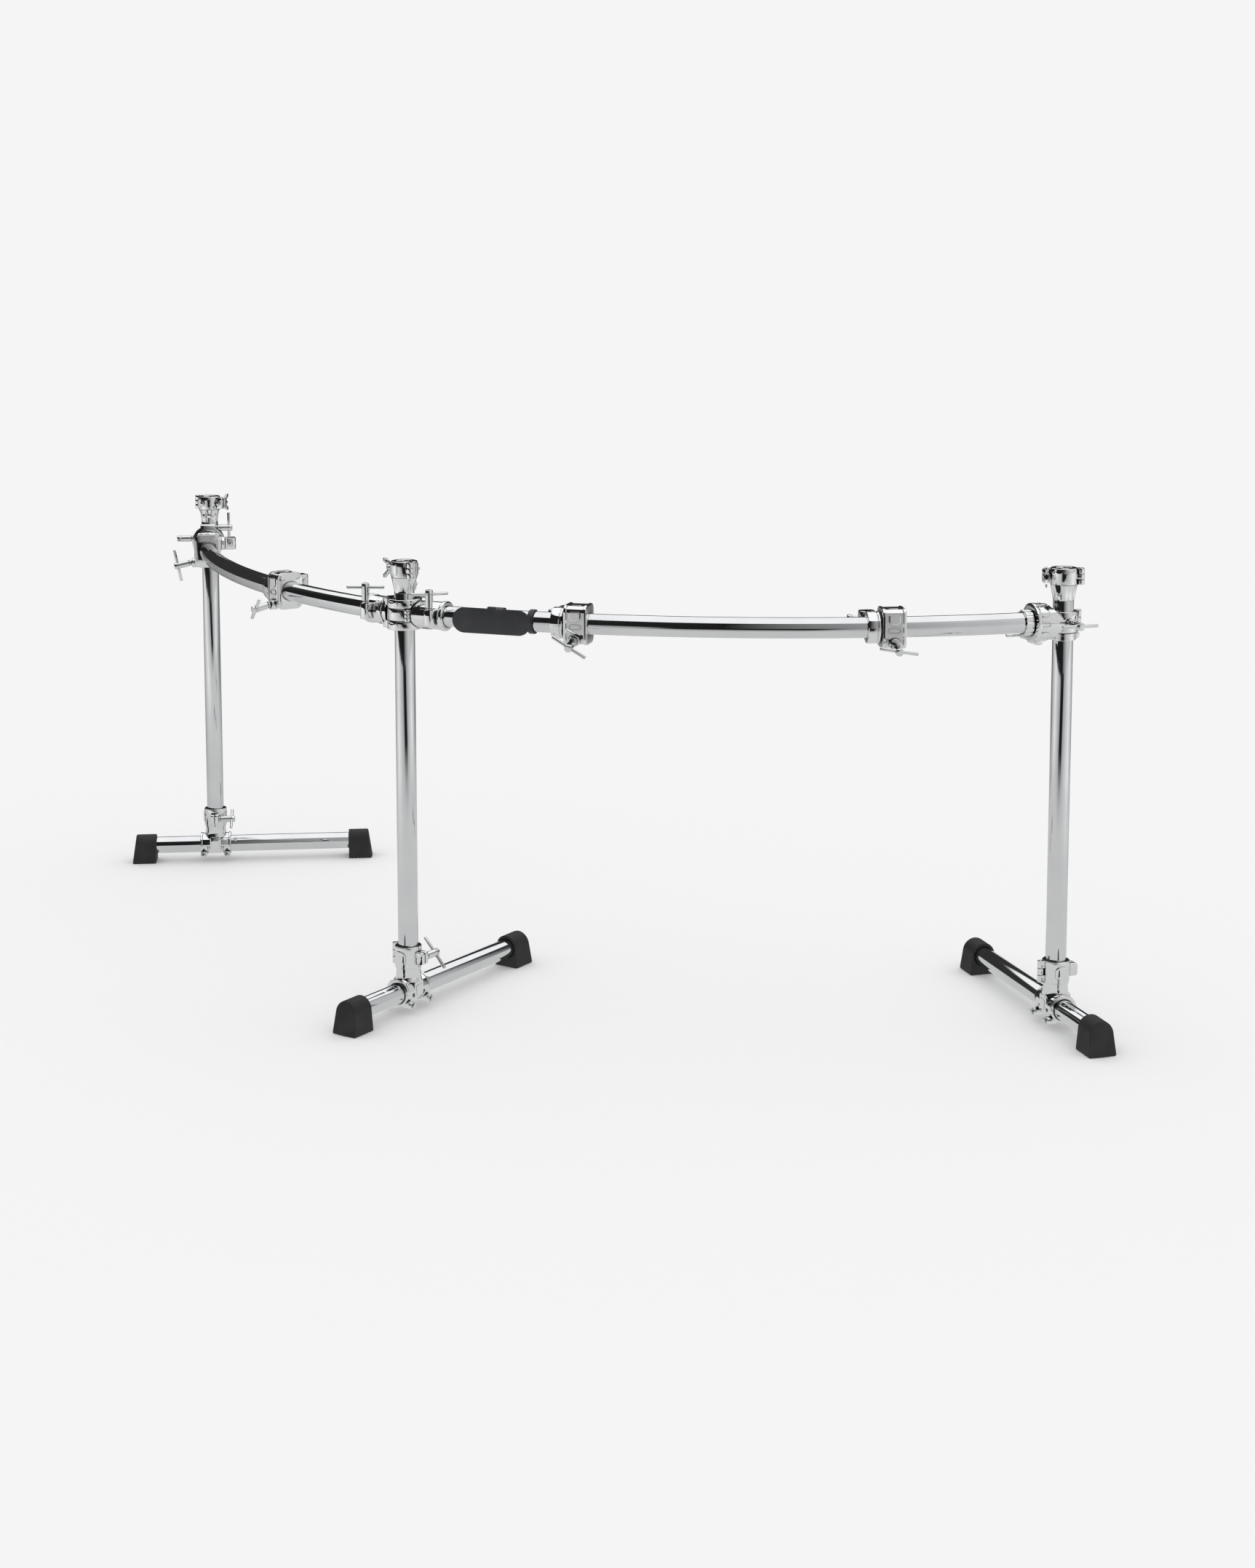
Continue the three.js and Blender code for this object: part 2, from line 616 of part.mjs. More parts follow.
// End clamp in its own frame: X from the bar towards the post, origin on the post axis
// side is the side of the gate and of the post bolt, -1 or 1, and handleTurn turns the bar bolt's handle
function outerEndClamp(side, bend, handleTurn) {
  const half = END_CLAMP.ringHeight / 2;
  const start = -BAR_END_REACH - END_CLAMP.outerGrip;
  const gateAngles = side < 0
    ? [-END_CLAMP.gateEndAngle, -END_CLAMP.gateStartAngle]
    : [END_CLAMP.gateStartAngle, END_CLAMP.gateEndAngle];
  const hinge = gateShapes(END_CLAMP.ringRadius, ...gateAngles, 0, END_CLAMP.hingeOffset, half);
  const ring = () => join(
    cylinder(END_CLAMP.ringRadius, -half, half),
    cylinderY(END_CLAMP.bossRadius, ...bossReach(side), 0, 0, BOLT_SIDES),
  );
  const postBore = cylinder(BORE_RADIUS, -half * 2, half * 2, BORE_SIDES);
  const boltHole = cylinderY(T_BOLT.shankRadius + BOLT_PLAY, ...overrunReach(side), 0, 0, BOLT_SIDES);
  const clear = turningRadius(END_CLAMP.hingeRadius);
  const { knuckle, lowJoint, highJoint } = hinge;

  const gate = ring()
    .intersect(solid(hinge.slice(0)))
    .add(solid(hinge.strap(lowJoint + SEAT_GAP, highJoint - SEAT_GAP))
      .intersect(solid(halfSpace(side, SPLIT_GAP / 2, half))))
    .subtract(solid(knuckle(clear, -half * 2, lowJoint + SEAT_GAP)))
    .subtract(solid(knuckle(clear, highJoint - SEAT_GAP, half * 2)))
    .add(solid(knuckle(END_CLAMP.hingeRadius, lowJoint + SEAT_GAP, highJoint - SEAT_GAP)))
    .subtract(solid(knuckle(END_CLAMP.pinRadius + PIN_PLAY, -half * 2, half * 2)))
    .subtract(solid(postBore))
    .subtract(solid(boltHole));

  const barrel = cut(
    join(
      cylinderX(END_CLAMP.barrelRadius, start, -END_CLAMP.neckInner, 0, 0, BARREL_SIDES),
      cylinderX(END_CLAMP.barrelRadius + END_CLAMP.flangeProud, start,
        start + END_CLAMP.flangeLength, 0, 0, BARREL_SIDES),
      box(-END_CLAMP.barBoltBack - END_CLAMP.lugHalfLength, -END_CLAMP.barBoltBack + END_CLAMP.lugHalfLength,
        -END_CLAMP.lugHalfWidth, END_CLAMP.lugHalfWidth, -END_CLAMP.lugDrop, -END_CLAMP.lugTop),
    ),
    cylinder(END_CLAMP.reliefRadius, -END_CLAMP.lugDrop * 2, END_CLAMP.lugDrop * 2),
  );
  const neck = box(-END_CLAMP.reliefRadius - OVERRUN, -END_CLAMP.neckInner, -side * END_CLAMP.neckHalfWidth,
    -side * SPLIT_GAP, -half, half);
  const fixedRing = cut(solid(cylinder(END_CLAMP.ringRadius, -half, half)),
    hinge.slice(END_CLAMP.gateStartAngle));
  const web = solid(hinge.strap(-half, half)).intersect(solid(halfSpace(-side, SPLIT_GAP / 2, half)));
  const pads = padPair(END_CLAMP.barrelRadius, (start - END_CLAMP.reliefRadius) / 2, side);
  const body = cut(
    fixedRing.add(barrel).add(solid(neck)).add(web).add(pads),
    knuckle(clear, lowJoint - SEAT_GAP, highJoint + SEAT_GAP),
  )
    .add(solid(knuckle(END_CLAMP.hingeRadius, -half, lowJoint)))
    .add(solid(knuckle(END_CLAMP.hingeRadius, highJoint, half)))
    .add(solid(knuckle(END_CLAMP.pinRadius, -half, half)))
    .add(barBoltAcross(handleTurn))
    .subtract(solid(postBore))
    .subtract(solid(barBore(END_CLAMP.outerGrip, bend)));
  return { body, gate };
}

function bossReach(side) {
  return side < 0 ? [-END_CLAMP.bossReach, -BORE_RADIUS] : [BORE_RADIUS, END_CLAMP.bossReach];
}

function overrunReach(side) {
  const far = END_CLAMP.bossReach + OVERRUN;
  return side < 0 ? [-far, 0] : [0, far];
}

// The half space on one side of the XZ plane, kept a gap away from it
function halfSpace(side, gap, half) {
  const far = END_CLAMP.reliefRadius * 2;
  return box(-far, far, side * gap, side * far, -half, half);
}

// Two U-shaped raised pads on the outside of a barrel
function padPair(radius, middle, side) {
  const shell = cut(
    solid(cylinderX(radius + END_CLAMP.padProud, middle - END_CLAMP.padHalfWidth,
      middle + END_CLAMP.padHalfWidth, 0, 0)),
    cylinderX(radius - SINK, middle - END_CLAMP.padHalfWidth * 2, middle + END_CLAMP.padHalfWidth * 2, 0, 0),
  );
  const inner = radius / 3;
  const far = radius + OVERRUN * 2;
  const windows = join(
    box(middle - far, middle + far, 0, side * far, inner, far),
    box(middle - far, middle + far, 0, side * far, -far, -inner),
  );
  return shell.intersect(windows);
}

// Bolt under an outer clamp's barrel, screwed home, its handle turned from the bar's direction
function barBoltAcross(handleTurn) {
  const bolt = geometryOf(tBolt(END_CLAMP.lugHalfWidth));
  bolt.rotateZ(radians(handleTurn));
  bolt.rotateX(-QUARTER_TURN);
  bolt.translate(-END_CLAMP.barBoltBack, END_CLAMP.lugHalfWidth - SINK, -END_CLAMP.barBoltDrop);
  return solid(bolt);
}

// Bolt beside an inner clamp's barrel, screwed home, its head up
function barBoltUpright(side) {
  const bolt = geometryOf(tBolt(END_CLAMP.innerLugHalfHeight));
  bolt.rotateZ(radians(BAR_HANDLE_TURN));
  bolt.translate(-END_CLAMP.innerBoltBack, side * END_CLAMP.innerBoltReach,
    END_CLAMP.innerLugHalfHeight - SINK);
  return solid(bolt);
}

// Barrel, side lug and upright bolt that both inner clamps share; outside is -1 or 1
function innerBarrel(outside) {
  const start = -BAR_END_REACH - END_CLAMP.innerGrip;
  const radius = END_CLAMP.innerBarrelRadius;
  const lug = box(-END_CLAMP.innerBoltBack - END_CLAMP.lugHalfLength,
    -END_CLAMP.innerBoltBack + END_CLAMP.lugHalfLength,
    outside * END_CLAMP.innerLugInner, outside * END_CLAMP.innerLugReach,
    -END_CLAMP.innerLugHalfHeight, END_CLAMP.innerLugHalfHeight);
  return cut(
    join(
      cylinderX(radius, start, -END_CLAMP.neckInner, 0, 0, BARREL_SIDES),
      cylinderX(radius + END_CLAMP.flangeProud, start, start + END_CLAMP.flangeLength, 0, 0,
        BARREL_SIDES),
      lug,
    ),
    cylinder(END_CLAMP.reliefRadius, -END_CLAMP.lugDrop * 2, END_CLAMP.lugDrop * 2),
  )
    .add(barBoltUpright(outside));
}

// Boss for a radial post bolt at an angle and height
function radialBoss(angle, height) {
  return cylinderX(END_CLAMP.bossRadius, BORE_RADIUS, END_CLAMP.bossReach, 0, height, BOLT_SIDES)
    .rotateZ(radians(angle));
}

function radialHole(angle, height) {
  return cylinderX(T_BOLT.shankRadius + BOLT_PLAY, 0, END_CLAMP.bossReach + OVERRUN, 0, height, BOLT_SIDES)
    .rotateZ(radians(angle));
}

// Inner clamp with a single middle ring and a hinged gate on its outer side
function middleRingClamp(outside, bend) {
  const half = END_CLAMP.innerRingHeight / 2;
  const radius = END_CLAMP.innerRingRadius;
  const hinge = gateShapes(radius, END_CLAMP.innerGateStart, END_CLAMP.innerGateEnd,
    END_CLAMP.innerGateEnd, END_CLAMP.innerHingeOffset, half);
  const { knuckle, lowJoint, highJoint } = hinge;
  const clear = turningRadius(END_CLAMP.hingeRadius);
  const postBore = cylinder(BORE_RADIUS, -half * 2, half * 2, BORE_SIDES);
  const gate = solid(cylinder(radius, -half, half))
    .intersect(solid(hinge.slice(-END_CLAMP.gateStartAngle / 2)))
    .subtract(solid(knuckle(clear, -half * 2, lowJoint + SEAT_GAP)))
    .subtract(solid(knuckle(clear, highJoint - SEAT_GAP, half * 2)))
    .add(solid(knuckle(END_CLAMP.hingeRadius, lowJoint + SEAT_GAP, highJoint - SEAT_GAP)))
    .subtract(solid(knuckle(END_CLAMP.pinRadius + PIN_PLAY, -half * 2, half * 2)))
    .subtract(solid(postBore));
  const neck = box(-END_CLAMP.reliefRadius - OVERRUN, -END_CLAMP.neckInner,
    -END_CLAMP.neckHalfWidth, END_CLAMP.neckHalfWidth, -half, half);
  const boltAngle = -END_CLAMP.middleBoltAngle * outside;
  const body = cut(
    cut(solid(cylinder(radius, -half, half)), hinge.slice(0)).add(innerBarrel(outside))
      .add(solid(neck)).add(solid(radialBoss(boltAngle, 0))),
    knuckle(clear, lowJoint - SEAT_GAP, highJoint + SEAT_GAP),
  )
    .add(solid(knuckle(END_CLAMP.hingeRadius, -half, lowJoint)))
    .add(solid(knuckle(END_CLAMP.hingeRadius, highJoint, half)))
    .add(solid(knuckle(END_CLAMP.pinRadius, -half, half)))
    .subtract(solid(postBore))
    .subtract(solid(radialHole(boltAngle, 0)))
    .subtract(solid(barBore(END_CLAMP.innerGrip, bend)));
  return { body, gate };
}

// Inner clamp with an upper and a lower ring, one above and one below the middle ring
function forkClamp(outside, bend) {
  const inner = END_CLAMP.innerRingHeight / 2 + END_CLAMP.ringGap;
  const outer = inner + END_CLAMP.forkRingHeight;
  const radius = END_CLAMP.innerRingRadius;
  const rings = join(
    cylinder(radius, inner, outer),
    cylinder(radius, -outer, -inner),
    box(-END_CLAMP.reliefRadius - OVERRUN, -END_CLAMP.neckInner,
      -END_CLAMP.neckHalfWidth, END_CLAMP.neckHalfWidth, inner, outer),
    box(-END_CLAMP.reliefRadius - OVERRUN, -END_CLAMP.neckInner,
      -END_CLAMP.neckHalfWidth, END_CLAMP.neckHalfWidth, -outer, -inner),
  );
  const backPlate = cylinderX(outer, -BAR_END_REACH - OVERRUN, -END_CLAMP.reliefRadius, 0, 0);
  const boltAngle = -END_CLAMP.forkBoltAngle * outside;
  const height = (inner + outer) / 2;
  return rings.add(innerBarrel(outside)).add(solid(backPlate))
    .add(solid(radialBoss(boltAngle, height)))
    .subtract(solid(cylinder(BORE_RADIUS, -outer * 2, outer * 2, BORE_SIDES)))
    .subtract(solid(radialHole(boltAngle, height)))
    .subtract(solid(barBore(END_CLAMP.innerGrip, bend)));
}

// Place on the right wing's bar line in plan, measured along it from its inner end
function barPoint(place) {
  const angle = LEAVE_ANGLE + place / BAR_RADIUS;
  return new THREE.Vector3(
    BAR_END_REACH * Math.cos(LEAVE_ANGLE) + BAR_RADIUS * (Math.sin(angle) - Math.sin(LEAVE_ANGLE)),
    BAR_END_REACH * Math.sin(LEAVE_ANGLE) - BAR_RADIUS * (Math.cos(angle) - Math.cos(LEAVE_ANGLE)),
    0,
  );
}

// Curved bar in its own frame, starting at the origin along X, with its lock ring near the far end
function curvedBar(bend) {
  const ringEnd = BAR_LENGTH - END_CLAMP.outerGrip - LOCK_RING.barGap;
  const inner = TUBE_RADIUS - TUBE_WALL;
  return solid(sweep(TUBE_RADIUS, 0, BAR_LENGTH, BAR_STEPS, bend))
    .add(solid(sweep(LOCK_RING.radius, ringEnd - LOCK_RING.barWidth, ringEnd, GRIP_STEPS, bend)))
    .subtract(solid(sweep(inner, -OVERRUN, BAR_LENGTH + OVERRUN, BAR_STEPS, bend, BAR_BORE_SIDES)));
}

// Post, and on an outer post its memory lock ring below the bar clamp
function post(hasLockRing) {
  if (!hasLockRing) return pipe(POST_BOTTOM, POST_TOP);
  const ringTop = BAR_HEIGHT - END_CLAMP.ringHeight / 2 - LOCK_RING.postGap;
  const ringLow = ringTop - LOCK_RING.postHeight;
  const lug = box(0, LOCK_RING.lugReach, -LOCK_RING.lugHalfWidth, LOCK_RING.lugHalfWidth, ringLow, ringTop);
  return cut(
    join(
      cylinder(TUBE_RADIUS, POST_BOTTOM, POST_TOP, TUBE_SIDES),
      cylinder(LOCK_RING.radius, ringLow, ringTop),
      lug,
    ),
    cylinder(TUBE_RADIUS - TUBE_WALL, POST_BOTTOM - OVERRUN, POST_TOP + OVERRUN, TUBE_SIDES),
  );
}

// Accessory clamp in its own frame: X along the bar, Y towards the drummer, origin on the bar axis
function accessoryBody() {
  const width = ACCESSORY.halfWidth;
  const bodyMiddle = ACCESSORY.shift;
  const depth = (ACCESSORY.front + ACCESSORY.back) / 2;
  const shift = (ACCESSORY.back - ACCESSORY.front) / 2;
  const outline = roundedRect(depth, -ACCESSORY.halfHeight, ACCESSORY.halfHeight, ACCESSORY.cornerRadius);
  const main = slab(outline, -width, width).rotateX(QUARTER_TURN).rotateZ(QUARTER_TURN)
    .translate(bodyMiddle, shift, 0);
  const ringEnd = bodyMiddle - width - ACCESSORY.ringGap;
  const ringStart = ringEnd - ACCESSORY.ringWidth;
  const ringMiddle = (ringStart + ringEnd) / 2;
  const boreStart = ringMiddle - ACCESSORY.bossRadius - OVERRUN;
  const boss = cylinderY(ACCESSORY.bossRadius, 0, ACCESSORY.bossReach, ringMiddle, HOLDER.rise);
  const lip = cylinderY(ACCESSORY.lipRadius, -ACCESSORY.lipReach, 0, bodyMiddle, -ACCESSORY.boltDrop,
    BOLT_SIDES);
  const studHole = cylinderY(HOLDER.studRadius + BOLT_PLAY, ACCESSORY.bossReach - HOLDER.studLength - TIP_GAP,
    ACCESSORY.bossReach + OVERRUN, ringMiddle, HOLDER.rise, BOLT_SIDES);
  const hole = cylinder(T_BOLT.shankRadius + BOLT_PLAY, -ACCESSORY.boltHoleDepth, OVERRUN, BOLT_SIDES)
    .applyMatrix4(accessoryBoltMatrix());
  return join(main, cylinderX(ACCESSORY.ringRadius, ringStart, ringEnd, 0, 0),
    cylinderX(ACCESSORY.ringNeckRadius, ringEnd - OVERRUN, bodyMiddle - width + OVERRUN, 0, 0), boss, lip)
    .subtract(solid(sweep(BORE_RADIUS, boreStart, bodyMiddle + width + OVERRUN, GRIP_STEPS, 1)))
    .subtract(solid(studHole))
    .subtract(solid(hole));
}

// Place of an accessory clamp's T-bolt: under the bar, pointing out and a little down
function accessoryBoltMatrix() {
  const tilt = new THREE.Matrix4().makeRotationX(QUARTER_TURN + radians(ACCESSORY.boltTilt));
  const place = new THREE.Matrix4()
    .makeTranslation(ACCESSORY.shift, -ACCESSORY.lipReach - OVERRUN, -ACCESSORY.boltDrop);
  return place.multiply(tilt);
}

// Rod holder: swivel stud and disc along Y, block with an upright rod bore, clamping screw
function rodHolder() {
  const disc = HOLDER.discThickness;
  const deep = disc + HOLDER.blockDepth;
  const screwStart = HOLDER.blockHalfWidth;
  const middle = (disc + deep) / 2;
  const screwEnd = screwStart + HOLDER.screwLength;
  const outline = roundedRect(HOLDER.blockHalfWidth, disc - OVERRUN, deep, HOLDER.blockDepth / 3);
  return cut(
    join(
      cylinderY(HOLDER.studRadius, -HOLDER.studLength, SINK, 0, 0, BOLT_SIDES),
      cylinderY(HOLDER.discRadius, 0, disc, 0, 0),
      slab(outline, -HOLDER.blockHalfHeight, HOLDER.blockHalfHeight),
      cylinderX(HOLDER.screwRadius, -screwEnd, 0, middle, 0, BOLT_SIDES),
      cylinderX(HOLDER.knobRadius, -screwEnd - HOLDER.knobLength, -screwEnd, middle, 0, HEX_SIDES),
    ),
    cylinder(HOLDER.boreRadius, -HOLDER.blockHalfHeight - OVERRUN, HOLDER.blockHalfHeight + OVERRUN,
      BOLT_SIDES).translate(0, middle, 0),
  );
}

// Blank plate in the accessory frame, its clip sprung round the bar
function namePlate() {
  const back = TUBE_RADIUS + PLATE.stand;
  const radius = PLATE.height / 2;
  const straight = PLATE.length / 2 - radius;
  const outline = new THREE.Shape();
  outline.absarc(straight, 0, radius, -QUARTER_TURN, QUARTER_TURN, false);
  outline.absarc(-straight, 0, radius, QUARTER_TURN, -QUARTER_TURN, false);
  const sheet = slab(outline, back, back + PLATE.thickness, PLATE_ARC_SEGMENTS).rotateX(QUARTER_TURN);
  const clip = cut(
    solid(cylinderX(PLATE.clipRadius, -PLATE.clipHalfWidth, PLATE.clipHalfWidth, 0, 0)),
    box(-PLATE.length, PLATE.length, PLATE.clipMouth, PLATE.length, -PLATE.length, PLATE.length),
  );
  const pad = box(-PLATE.padHalfWidth, PLATE.padHalfWidth, -back - SINK, -TUBE_RADIUS,
    -PLATE.padHalfHeight, PLATE.padHalfHeight);
  return clip.add(solid(pad)).add(solid(sheet))
    .subtract(solid(sweep(BORE_RADIUS, -PLATE.clipHalfWidth - OVERRUN, PLATE.clipHalfWidth + OVERRUN,
      GRIP_STEPS, 1)));
}

// One leg in its own frame: post on Z, long end of the foot bar along +Y
function buildLeg(name, hasLockRing) {
  const leg = new THREE.Group();
  leg.add(piece(`${name}_post`, post(hasLockRing), CHROME));
  const { body, gate, strap } = footClampParts();
  leg.add(piece(`${name}_foot_clamp`, body, CAST_CHROME));
  leg.add(piece(`${name}_foot_gate`, gate, CAST_CHROME));
  leg.add(piece(`${name}_foot_strap`, strap, CAST_CHROME));

  const boltMiddle = (FOOT_CLAMP.collarBottom + SEAT_GAP + FOOT_CLAMP.collarTop) / 2;
  const shank = FOOT_CLAMP.lugHalfThickness * 2 - SINK;
  const bolt = piece(`${name}_foot_t_bolt`, tBolt(shank), SCREW_CHROME);
  bolt.position.set(FOOT_CLAMP.boltOffset, FOOT_CLAMP.lugHalfThickness + SEAT_GAP, boltMiddle);
  bolt.rotation.set(-QUARTER_TURN, radians(FOOT_HANDLE_TURNS[name]), 0, 'YXZ');
  leg.add(bolt);

  const tube = piece(`${name}_foot_bar`, pipe(0, FOOT_TUBE_LENGTH), CHROME);
  tube.position.set(0, -FOOT_TUBE_SHORT_SIDE, FOOT_AXIS_HEIGHT);
  tube.rotation.x = -QUARTER_TURN;
  leg.add(tube);

  const socketDepth = RUBBER.length - RUBBER.endWall;
  const outerFoot = piece(`${name}_outer_foot`, rubberFoot(), BLACK_RUBBER);
  outerFoot.position.y = -FOOT_TUBE_SHORT_SIDE + socketDepth - SEAT_GAP;
  const innerFoot = piece(`${name}_inner_foot`, rubberFoot(), BLACK_RUBBER);
  innerFoot.position.y = FOOT_TUBE_LENGTH - FOOT_TUBE_SHORT_SIDE - socketDepth + SEAT_GAP;
  innerFoot.rotation.z = Math.PI;
  leg.add(outerFoot, innerFoot);
  return leg;
}

// Rod clamp, jaw and wing screw on top of a post
function buildRodClamp(name) {
  const top = new THREE.Group();
  const { body, gate } = rodClampParts();
  const middle = (ROD_CLAMP.coneHeight + SEAT_GAP + ROD_CLAMP.blockHeight) / 2;
  const screw = piece(`${name}_wing_screw`,
    wingScrew(ROD_CLAMP.lugHalfThickness * 2 - SINK), SCREW_CHROME);
  screw.position.set(ROD_CLAMP.boltOffset, ROD_CLAMP.lugHalfThickness + SEAT_GAP, middle);
  screw.rotation.set(-QUARTER_TURN, QUARTER_TURN, 0, 'YXZ');
  top.add(
    piece(`${name}_rod_clamp`, body, CAST_CHROME),
    piece(`${name}_rod_jaw`, gate, CAST_CHROME),
    screw,
  );
  top.position.z = POST_TOP;
  return top;
}

// Radial post bolt of an end clamp, at an angle round the post and a height
function postBolt(name, angle, height) {
  const bearing = END_CLAMP.bossReach + END_CLAMP.boltBackOff;
  const bolt = piece(name, tBolt(bearing - TUBE_RADIUS - SEAT_GAP), SCREW_CHROME);
  const mount = new THREE.Group();
  bolt.position.set(bearing, 0, height);
  bolt.rotation.set(0, QUARTER_TURN, 0);
  bolt.rotateZ(QUARTER_TURN);
  mount.rotation.z = radians(angle);
  mount.add(bolt);
  return mount;
}

// Frame at a place along a wing's bar: X along the bar, Y towards the drummer
function barFrame(place, side) {
  const frame = new THREE.Group();
  const at = barPoint(place);
  frame.position.set(side * at.x, at.y, BAR_HEIGHT);
  frame.rotation.z = side * (LEAVE_ANGLE + place / BAR_RADIUS);
  return frame;
}

function buildAccessory(number, place, side) {
  const frame = barFrame(place, side);
  const bolt = piece(`accessory_t_bolt_${number}`, tBolt(ACCESSORY.boltHoleDepth - TIP_GAP), SCREW_CHROME);
  bolt.applyMatrix4(accessoryBoltMatrix());
  bolt.rotateZ(radians(ACCESSORY_HANDLE_TURNS[number - 1]));
  const holder = piece(`rod_holder_${number}`, rodHolder(), CAST_CHROME);
  const ringMiddle = ACCESSORY.shift - ACCESSORY.halfWidth - ACCESSORY.ringGap - ACCESSORY.ringWidth / 2;
  holder.position.set(ringMiddle, ACCESSORY.bossReach + SEAT_GAP, HOLDER.rise);
  frame.add(piece(`accessory_clamp_${number}`, accessoryBody(), CAST_CHROME), bolt, holder);
  return frame;
}

// One wing: its bar and the clamps at both ends; the left outer clamp is the right one upside down
function buildWing(name, side, farPost) {
  const wing = new THREE.Group();
  const bar = piece(`${name}_bar`, curvedBar(side), CHROME);
  const start = barPoint(0);
  bar.position.set(side * start.x, start.y, BAR_HEIGHT);
  bar.rotation.z = side > 0 ? LEAVE_ANGLE : Math.PI - LEAVE_ANGLE;
  wing.add(bar);

  const gateSide = -1;
  const outer = outerEndClamp(gateSide, 1, END_HANDLE_TURNS[name]);
  const outerFrame = new THREE.Group();
  outerFrame.position.set(farPost.x, farPost.y, BAR_HEIGHT);
  if (side > 0) outerFrame.rotation.z = ARRIVE_ANGLE;
  else outerFrame.rotation.set(Math.PI, 0, Math.PI - ARRIVE_ANGLE, 'ZYX');
  outerFrame.add(
    piece(`${name}_outer_clamp`, outer.body, CAST_CHROME),
    piece(`${name}_outer_gate`, outer.gate, CAST_CHROME),
    postBolt(`${name}_outer_post_bolt`, gateSide * END_CLAMP.outerBoltAngle, 0),
  );
  wing.add(outerFrame);

  const innerFrame = new THREE.Group();
  innerFrame.position.z = BAR_HEIGHT;
  innerFrame.rotation.z = side > 0 ? Math.PI + LEAVE_ANGLE : -LEAVE_ANGLE;
  if (side > 0) {
    const inner = middleRingClamp(1, -side);
    innerFrame.add(
      piece(`${name}_inner_clamp`, inner.body, CAST_CHROME),
      piece(`${name}_inner_gate`, inner.gate, CAST_CHROME),
      postBolt(`${name}_inner_post_bolt`, -END_CLAMP.middleBoltAngle, 0),
    );
  } else {
    const height = END_CLAMP.innerRingHeight / 2 + END_CLAMP.ringGap + END_CLAMP.forkRingHeight / 2;
    innerFrame.add(
      piece(`${name}_inner_clamp`, forkClamp(-1, -side), CAST_CHROME),
      postBolt(`${name}_inner_post_bolt`, END_CLAMP.forkBoltAngle, height),
    );
  }
  wing.add(innerFrame);
  return wing;
}

const rack = new THREE.Group();
const barEnd = barPoint(BAR_LENGTH);
const farPost = {
  x: barEnd.x + BAR_END_REACH * Math.cos(ARRIVE_ANGLE),
  y: barEnd.y + BAR_END_REACH * Math.sin(ARRIVE_ANGLE),
};
const legs = [
  { name: 'middle', x: 0, y: 0, turn: 0, hasLockRing: false },
  { name: 'right', x: farPost.x, y: farPost.y, turn: ARRIVE_ANGLE, hasLockRing: true },
  { name: 'left', x: -farPost.x, y: farPost.y, turn: -ARRIVE_ANGLE, hasLockRing: true },
];
for (const { name, x, y, turn, hasLockRing } of legs) {
  const leg = buildLeg(name, hasLockRing);
  leg.position.set(x, y, 0);
  leg.rotation.z = turn;
  const top = buildRodClamp(name);
  top.position.x = x;
  top.position.y = y;
  top.rotation.z = radians(ROD_CLAMP_TURNS[name]);
  rack.add(leg, top);
}
rack.add(buildWing('right', 1, farPost), buildWing('left', -1, { x: -farPost.x, y: farPost.y }));

const plateFrame = barFrame(PLATE_PLACE, 1);
plateFrame.add(piece('name_plate', namePlate(), BLACK_PLASTIC));
rack.add(plateFrame);
RIGHT_CLAMP_PLACES.forEach((place, i) => rack.add(buildAccessory(i + 1, place, 1)));
LEFT_CLAMP_PLACES.forEach((place, i) => rack.add(buildAccessory(i + 3, place, -1)));

// The origin is the middle of the rack's footprint, on the floor
rack.updateMatrixWorld(true);
const extent = new THREE.Box3().setFromObject(rack, true);
const middle = extent.getCenter(new THREE.Vector3());
rack.position.set(-middle.x, -middle.y, 0);

export default rack;
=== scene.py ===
"""Looks of a curved chrome drum rack: three T-footed posts, two bent bars, cast clamps, screws
and rubber feet.

Shapes are worked out in millimetres in the frame of the casting or tube they belong to, and placed in the
rack's frame, in metres, when their mesh is made.
"""
import json
import math
from types import SimpleNamespace

import bmesh
import bpy
import numpy as np
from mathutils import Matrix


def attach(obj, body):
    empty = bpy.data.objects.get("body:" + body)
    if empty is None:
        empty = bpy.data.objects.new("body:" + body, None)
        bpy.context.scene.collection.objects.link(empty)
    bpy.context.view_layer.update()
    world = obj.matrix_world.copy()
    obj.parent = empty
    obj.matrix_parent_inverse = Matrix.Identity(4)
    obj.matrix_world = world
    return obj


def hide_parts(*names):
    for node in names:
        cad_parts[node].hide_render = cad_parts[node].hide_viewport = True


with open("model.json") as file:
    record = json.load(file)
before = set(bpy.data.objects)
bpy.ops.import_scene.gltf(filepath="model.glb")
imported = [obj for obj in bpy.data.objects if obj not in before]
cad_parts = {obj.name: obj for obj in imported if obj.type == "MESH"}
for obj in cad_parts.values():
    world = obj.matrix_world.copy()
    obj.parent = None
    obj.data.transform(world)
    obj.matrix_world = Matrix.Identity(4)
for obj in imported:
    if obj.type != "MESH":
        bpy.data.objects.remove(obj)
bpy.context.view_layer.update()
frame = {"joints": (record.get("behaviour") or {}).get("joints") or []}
joints = {joint["name"]: joint for joint in frame["joints"]}

